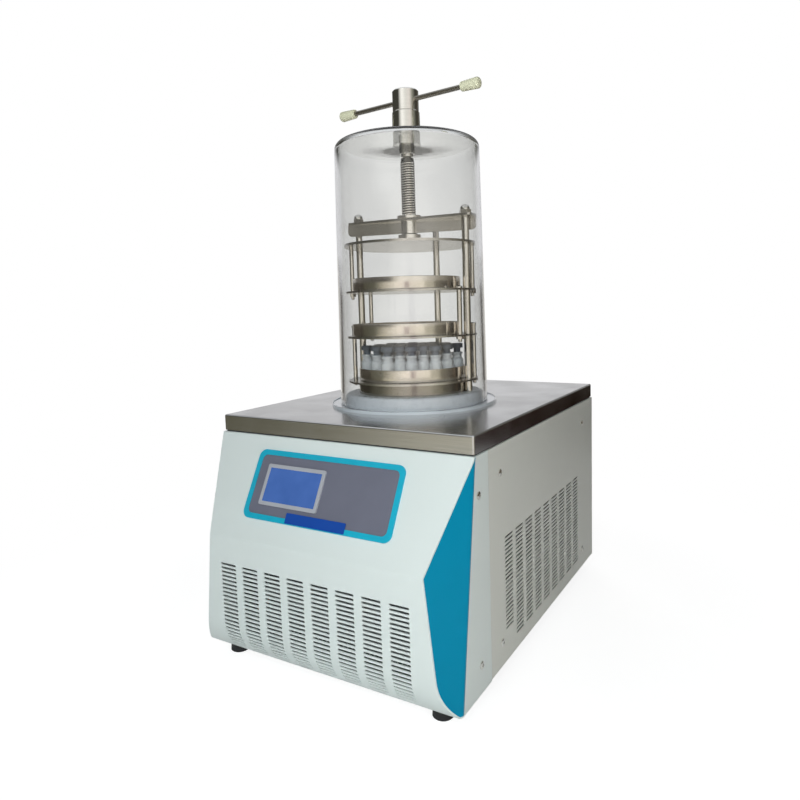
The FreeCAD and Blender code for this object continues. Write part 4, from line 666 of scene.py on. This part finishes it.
def stoppers():
    """Butyl stoppers with a soft-edged flange, a shallow groove round the top and a hollow plug."""
    low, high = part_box("stoppers")
    z, top = low.z / MM, high.z / MM
    r, plug, flange = STOPPER_RADIUS, STOPPER_PLUG, top - STOPPER_FLANGE
    bore, roof = STOPPER_HOLLOW, z + STOPPER_HOLLOW
    chamfer, rise = STOPPER_PLUG_CHAMFER
    inner, outer = STOPPER_RING
    slope, ring_z = STOPPER_RING_SLOPE, top - STOPPER_RING_DEPTH
    outline = rounded([(0, roof), (bore, roof, 0.5), (bore, z, 0.5), (plug - chamfer, z, 0.4),
                       (plug, z + rise, 0.3), (plug, flange, 0.4), (r, flange, 0.9), (r, top, 1.3),
                       (outer + slope, top, 0.3), (outer, ring_z, 0.3), (inner, ring_z, 0.3),
                       (inner - slope, top, 0.3), (0, top)], 3)
    parts = [lathe_data(outline, STOPPER_SIDES, place) for place in vial_places("stoppers")]
    piece("stopper_rubber", parts, "stopper_rubber", "stoppers", "stoppers", 50.0)


def tray(node, body):
    """Spun tray with a rounded foot and a rolled rim."""
    low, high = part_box(node)
    z, top = low.z / MM, high.z / MM
    r = (high.x - low.x) / 2 / MM
    centre = ((low.x + high.x) / 2, (low.y + high.y) / 2)
    t = TRAY_SHEET
    rim_z = top - TRAY_RIM
    outline = rounded([(0, z), (r, z, 2.2), (r, top, 0.9), (r - 2 * t, top, 0.9), (r - 2 * t, rim_z, 0.5),
                       (r - t, rim_z - TRAY_RIM_SLOPE, 0.3), (r - t, z + t, 1.4), (0, z + t)], 5)
    parts = [lathe_data(outline, TRAY_SIDES, centre)]
    piece(node + "_spun", parts, "sheet_steel", node, body, 40.0)


def grips():
    """Turned grips with round ends, one on each end of the cross rod."""
    low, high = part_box("grips")
    place = Matrix.Translation(((low.x + high.x) / 2, (low.y + high.y) / 2, (low.z + high.z) / 2))
    start, end = GRIP_START, GRIP_START + GRIP_LENGTH
    bottom = start + GRIP_DEPTH
    outline = rounded([(0, bottom), (GRIP_BORE, bottom), (GRIP_BORE, start, 0.3),
                       (GRIP_INNER, start, GRIP_INNER_ROUND), (GRIP_OUTER, end, GRIP_OUTER_ROUND),
                       (0, end)])
    lie_down = Matrix.Rotation(math.radians(90.0), 4, "Y")
    parts = []
    for turn in (ROD_TURN, ROD_TURN + 180.0):
        lay = place @ Matrix.Rotation(math.radians(turn), 4, "Z") @ lie_down
        vertices, faces = lathe_data(outline, GRIP_SIDES)
        parts.append(([tuple(lay @ Vector(v)) for v in vertices], faces))
    piece("turned_grips", parts, "grip_cream", "grips", "handle", 50.0)


jar_shell()
grips()
threaded_screw()
vials()
stoppers()
tray("tray_lower", "cabinet")
tray("tray_middle", "press")
tray("tray_upper", "press")


# ---------------------------------------------------------------- stage
def lamp(name, place, aim, size, power, colour):
    """Square soft lamp that points at aim."""
    data = bpy.data.lights.new(name, "AREA")
    data.size = size
    data.energy = power
    data.color = colour
    made = bpy.data.objects.new(name, data)
    made.location = place
    made.rotation_euler = (Vector(aim) - Vector(place)).to_track_quat("-Z", "Y").to_euler()
    made.visible_camera = False
    made.visible_glossy = False
    made.visible_transmission = False
    bpy.context.scene.collection.objects.link(made)


def ring_of_bands(use, turn, bands):
    """Colours round the studio; turn goes from 0 to 1, and is 0.5 at the middle of the bright side."""
    return use.ramp(turn, *[(0.5 + angle / 360.0, colour + (1.0,)) for angle, colour in bands])


def world():
    """White behind the object, light from one side on matt surfaces, a studio with dark sides for metal.

    A ray that has met metal or the outside of the glass sees the studio, even if it then leaves through
    glass, unless it comes off a matt surface."""
    made = bpy.data.worlds.new("studio")
    made.use_nodes = True
    tree = made.node_tree
    tree.nodes.clear()
    use = Nodes(tree)
    direction = use.make("ShaderNodeTexCoord").outputs["Generated"]
    heading = math.radians(STUDIO_HEADING)
    ahead = use.vector("DOT_PRODUCT", direction, (math.cos(heading), math.sin(heading), 0.0))
    aside = use.vector("DOT_PRODUCT", direction, (-math.sin(heading), math.cos(heading), 0.0))
    turn = use.math("MULTIPLY_ADD", use.math("ARCTAN2", aside, ahead), 0.5 / math.pi, 0.5)
    split = use.make("ShaderNodeSeparateXYZ")
    use.put(direction, split.inputs[0])
    height = split.outputs["Z"]
    walls = ring_of_bands(use, turn, SKIRT_BANDS)
    for bands, start in ((TRAY_BANDS, TRAY_START), (PRESS_BANDS, PRESS_START), (HUB_BANDS, HUB_START)):
        walls = use.mix_colour(use.span(height, *start), walls, ring_of_bands(use, turn, bands))
    dome = use.mix_colour(use.span(height, *DOME_START), walls, DOME_COLOUR)
    path = use.make("ShaderNodeLightPath").outputs
    plain = use.make("ShaderNodeBackground", Color=WHITE)
    bright = math.radians(SKY_HEADING)
    facing = use.vector("DOT_PRODUCT", direction, (math.cos(bright), math.sin(bright), SKY_RISE))
    level = use.math("MULTIPLY_ADD", use.span(facing, *SKY_SPAN), SKY - SKY_SHADE, SKY_SHADE)
    use.put(level, plain.inputs["Strength"])
    studio = use.make("ShaderNodeBackground")
    use.put(dome, studio.inputs["Color"])
    white = use.make("ShaderNodeBackground", Color=WHITE)
    seen = use.math("MAXIMUM", path["Is Camera Ray"], path["Is Transmission Ray"])
    clean = use.mix_shader(seen, plain.outputs[0], white.outputs[0])
    mirrored = use.math("GREATER_THAN", path["Glossy Depth"], 0.5)
    bare = use.math("MULTIPLY", mirrored, use.math("SUBTRACT", 1.0, path["Is Diffuse Ray"]))
    output = use.make("ShaderNodeOutputWorld")
    use.put(use.mix_shader(bare, clean, studio.outputs[0]), output.inputs["Surface"])
    bpy.context.scene.world = made


def floor():
    """Pale floor that fades into the white round it and keeps the object's shadow."""
    mesh = bpy.data.meshes.new("floor")
    turns = [i * math.tau / FLOOR_SIDES for i in range(FLOOR_SIDES)]
    ring = [(FLOOR_RADIUS * math.cos(a), FLOOR_RADIUS * math.sin(a), 0.0) for a in turns]
    mesh.from_pydata(ring, [], [list(range(FLOOR_SIDES))])
    made = bpy.data.objects.new("floor", mesh)
    bpy.context.scene.collection.objects.link(made)
    finish = Finish("floor", FLOOR_COLOUR, 0.9, Specular_IOR_Level=0.0)
    finish.shade(finish.noise(3.0), 0.01)
    place = finish.make("ShaderNodeTexCoord").outputs["Object"]
    near = finish.math("SUBTRACT", 1.0, finish.span(finish.vector("LENGTH", place), *FLOOR_FADE))
    path = finish.make("ShaderNodeLightPath").outputs
    seen = finish.math("MAXIMUM", path["Is Camera Ray"], path["Is Transmission Ray"])
    white = finish.math("MULTIPLY", seen, finish.math("MULTIPLY_ADD", near, -SHADOW_SHARE, 1.0))
    glow = finish.make("ShaderNodeEmission", Color=WHITE)
    finish.put(finish.math("MULTIPLY_ADD", near, FLOOR_LIFT, 1.0), glow.inputs["Strength"])
    surface = finish.mix_shader(white, finish.shader.outputs[0], glow.outputs[0])
    finish.put(surface, finish.output.inputs["Surface"])
    mesh.materials.append(finish.material)


def camera():
    """Camera at the viewing angle."""
    data = bpy.data.cameras.new("camera")
    data.lens = CAMERA_LENS
    data.sensor_width = CAMERA_SENSOR
    data.shift_x, data.shift_y = CAMERA_SHIFT
    data.clip_end = CAMERA_REACH
    made = bpy.data.objects.new("camera", data)
    heading = Matrix.Rotation(math.radians(CAMERA_HEADING), 4, "Z")
    tilt = Matrix.Rotation(math.radians(90 - CAMERA_DIP), 4, "X")
    roll = Matrix.Rotation(math.radians(CAMERA_ROLL), 4, "Z")
    made.matrix_world = Matrix.Translation(CAMERA_PLACE) @ (heading @ tilt) @ roll
    bpy.context.scene.collection.objects.link(made)
    bpy.context.scene.camera = made


world()
floor()
camera()
for values in LAMPS:
    lamp(*values)
bpy.context.scene.view_settings.view_transform = "Standard"
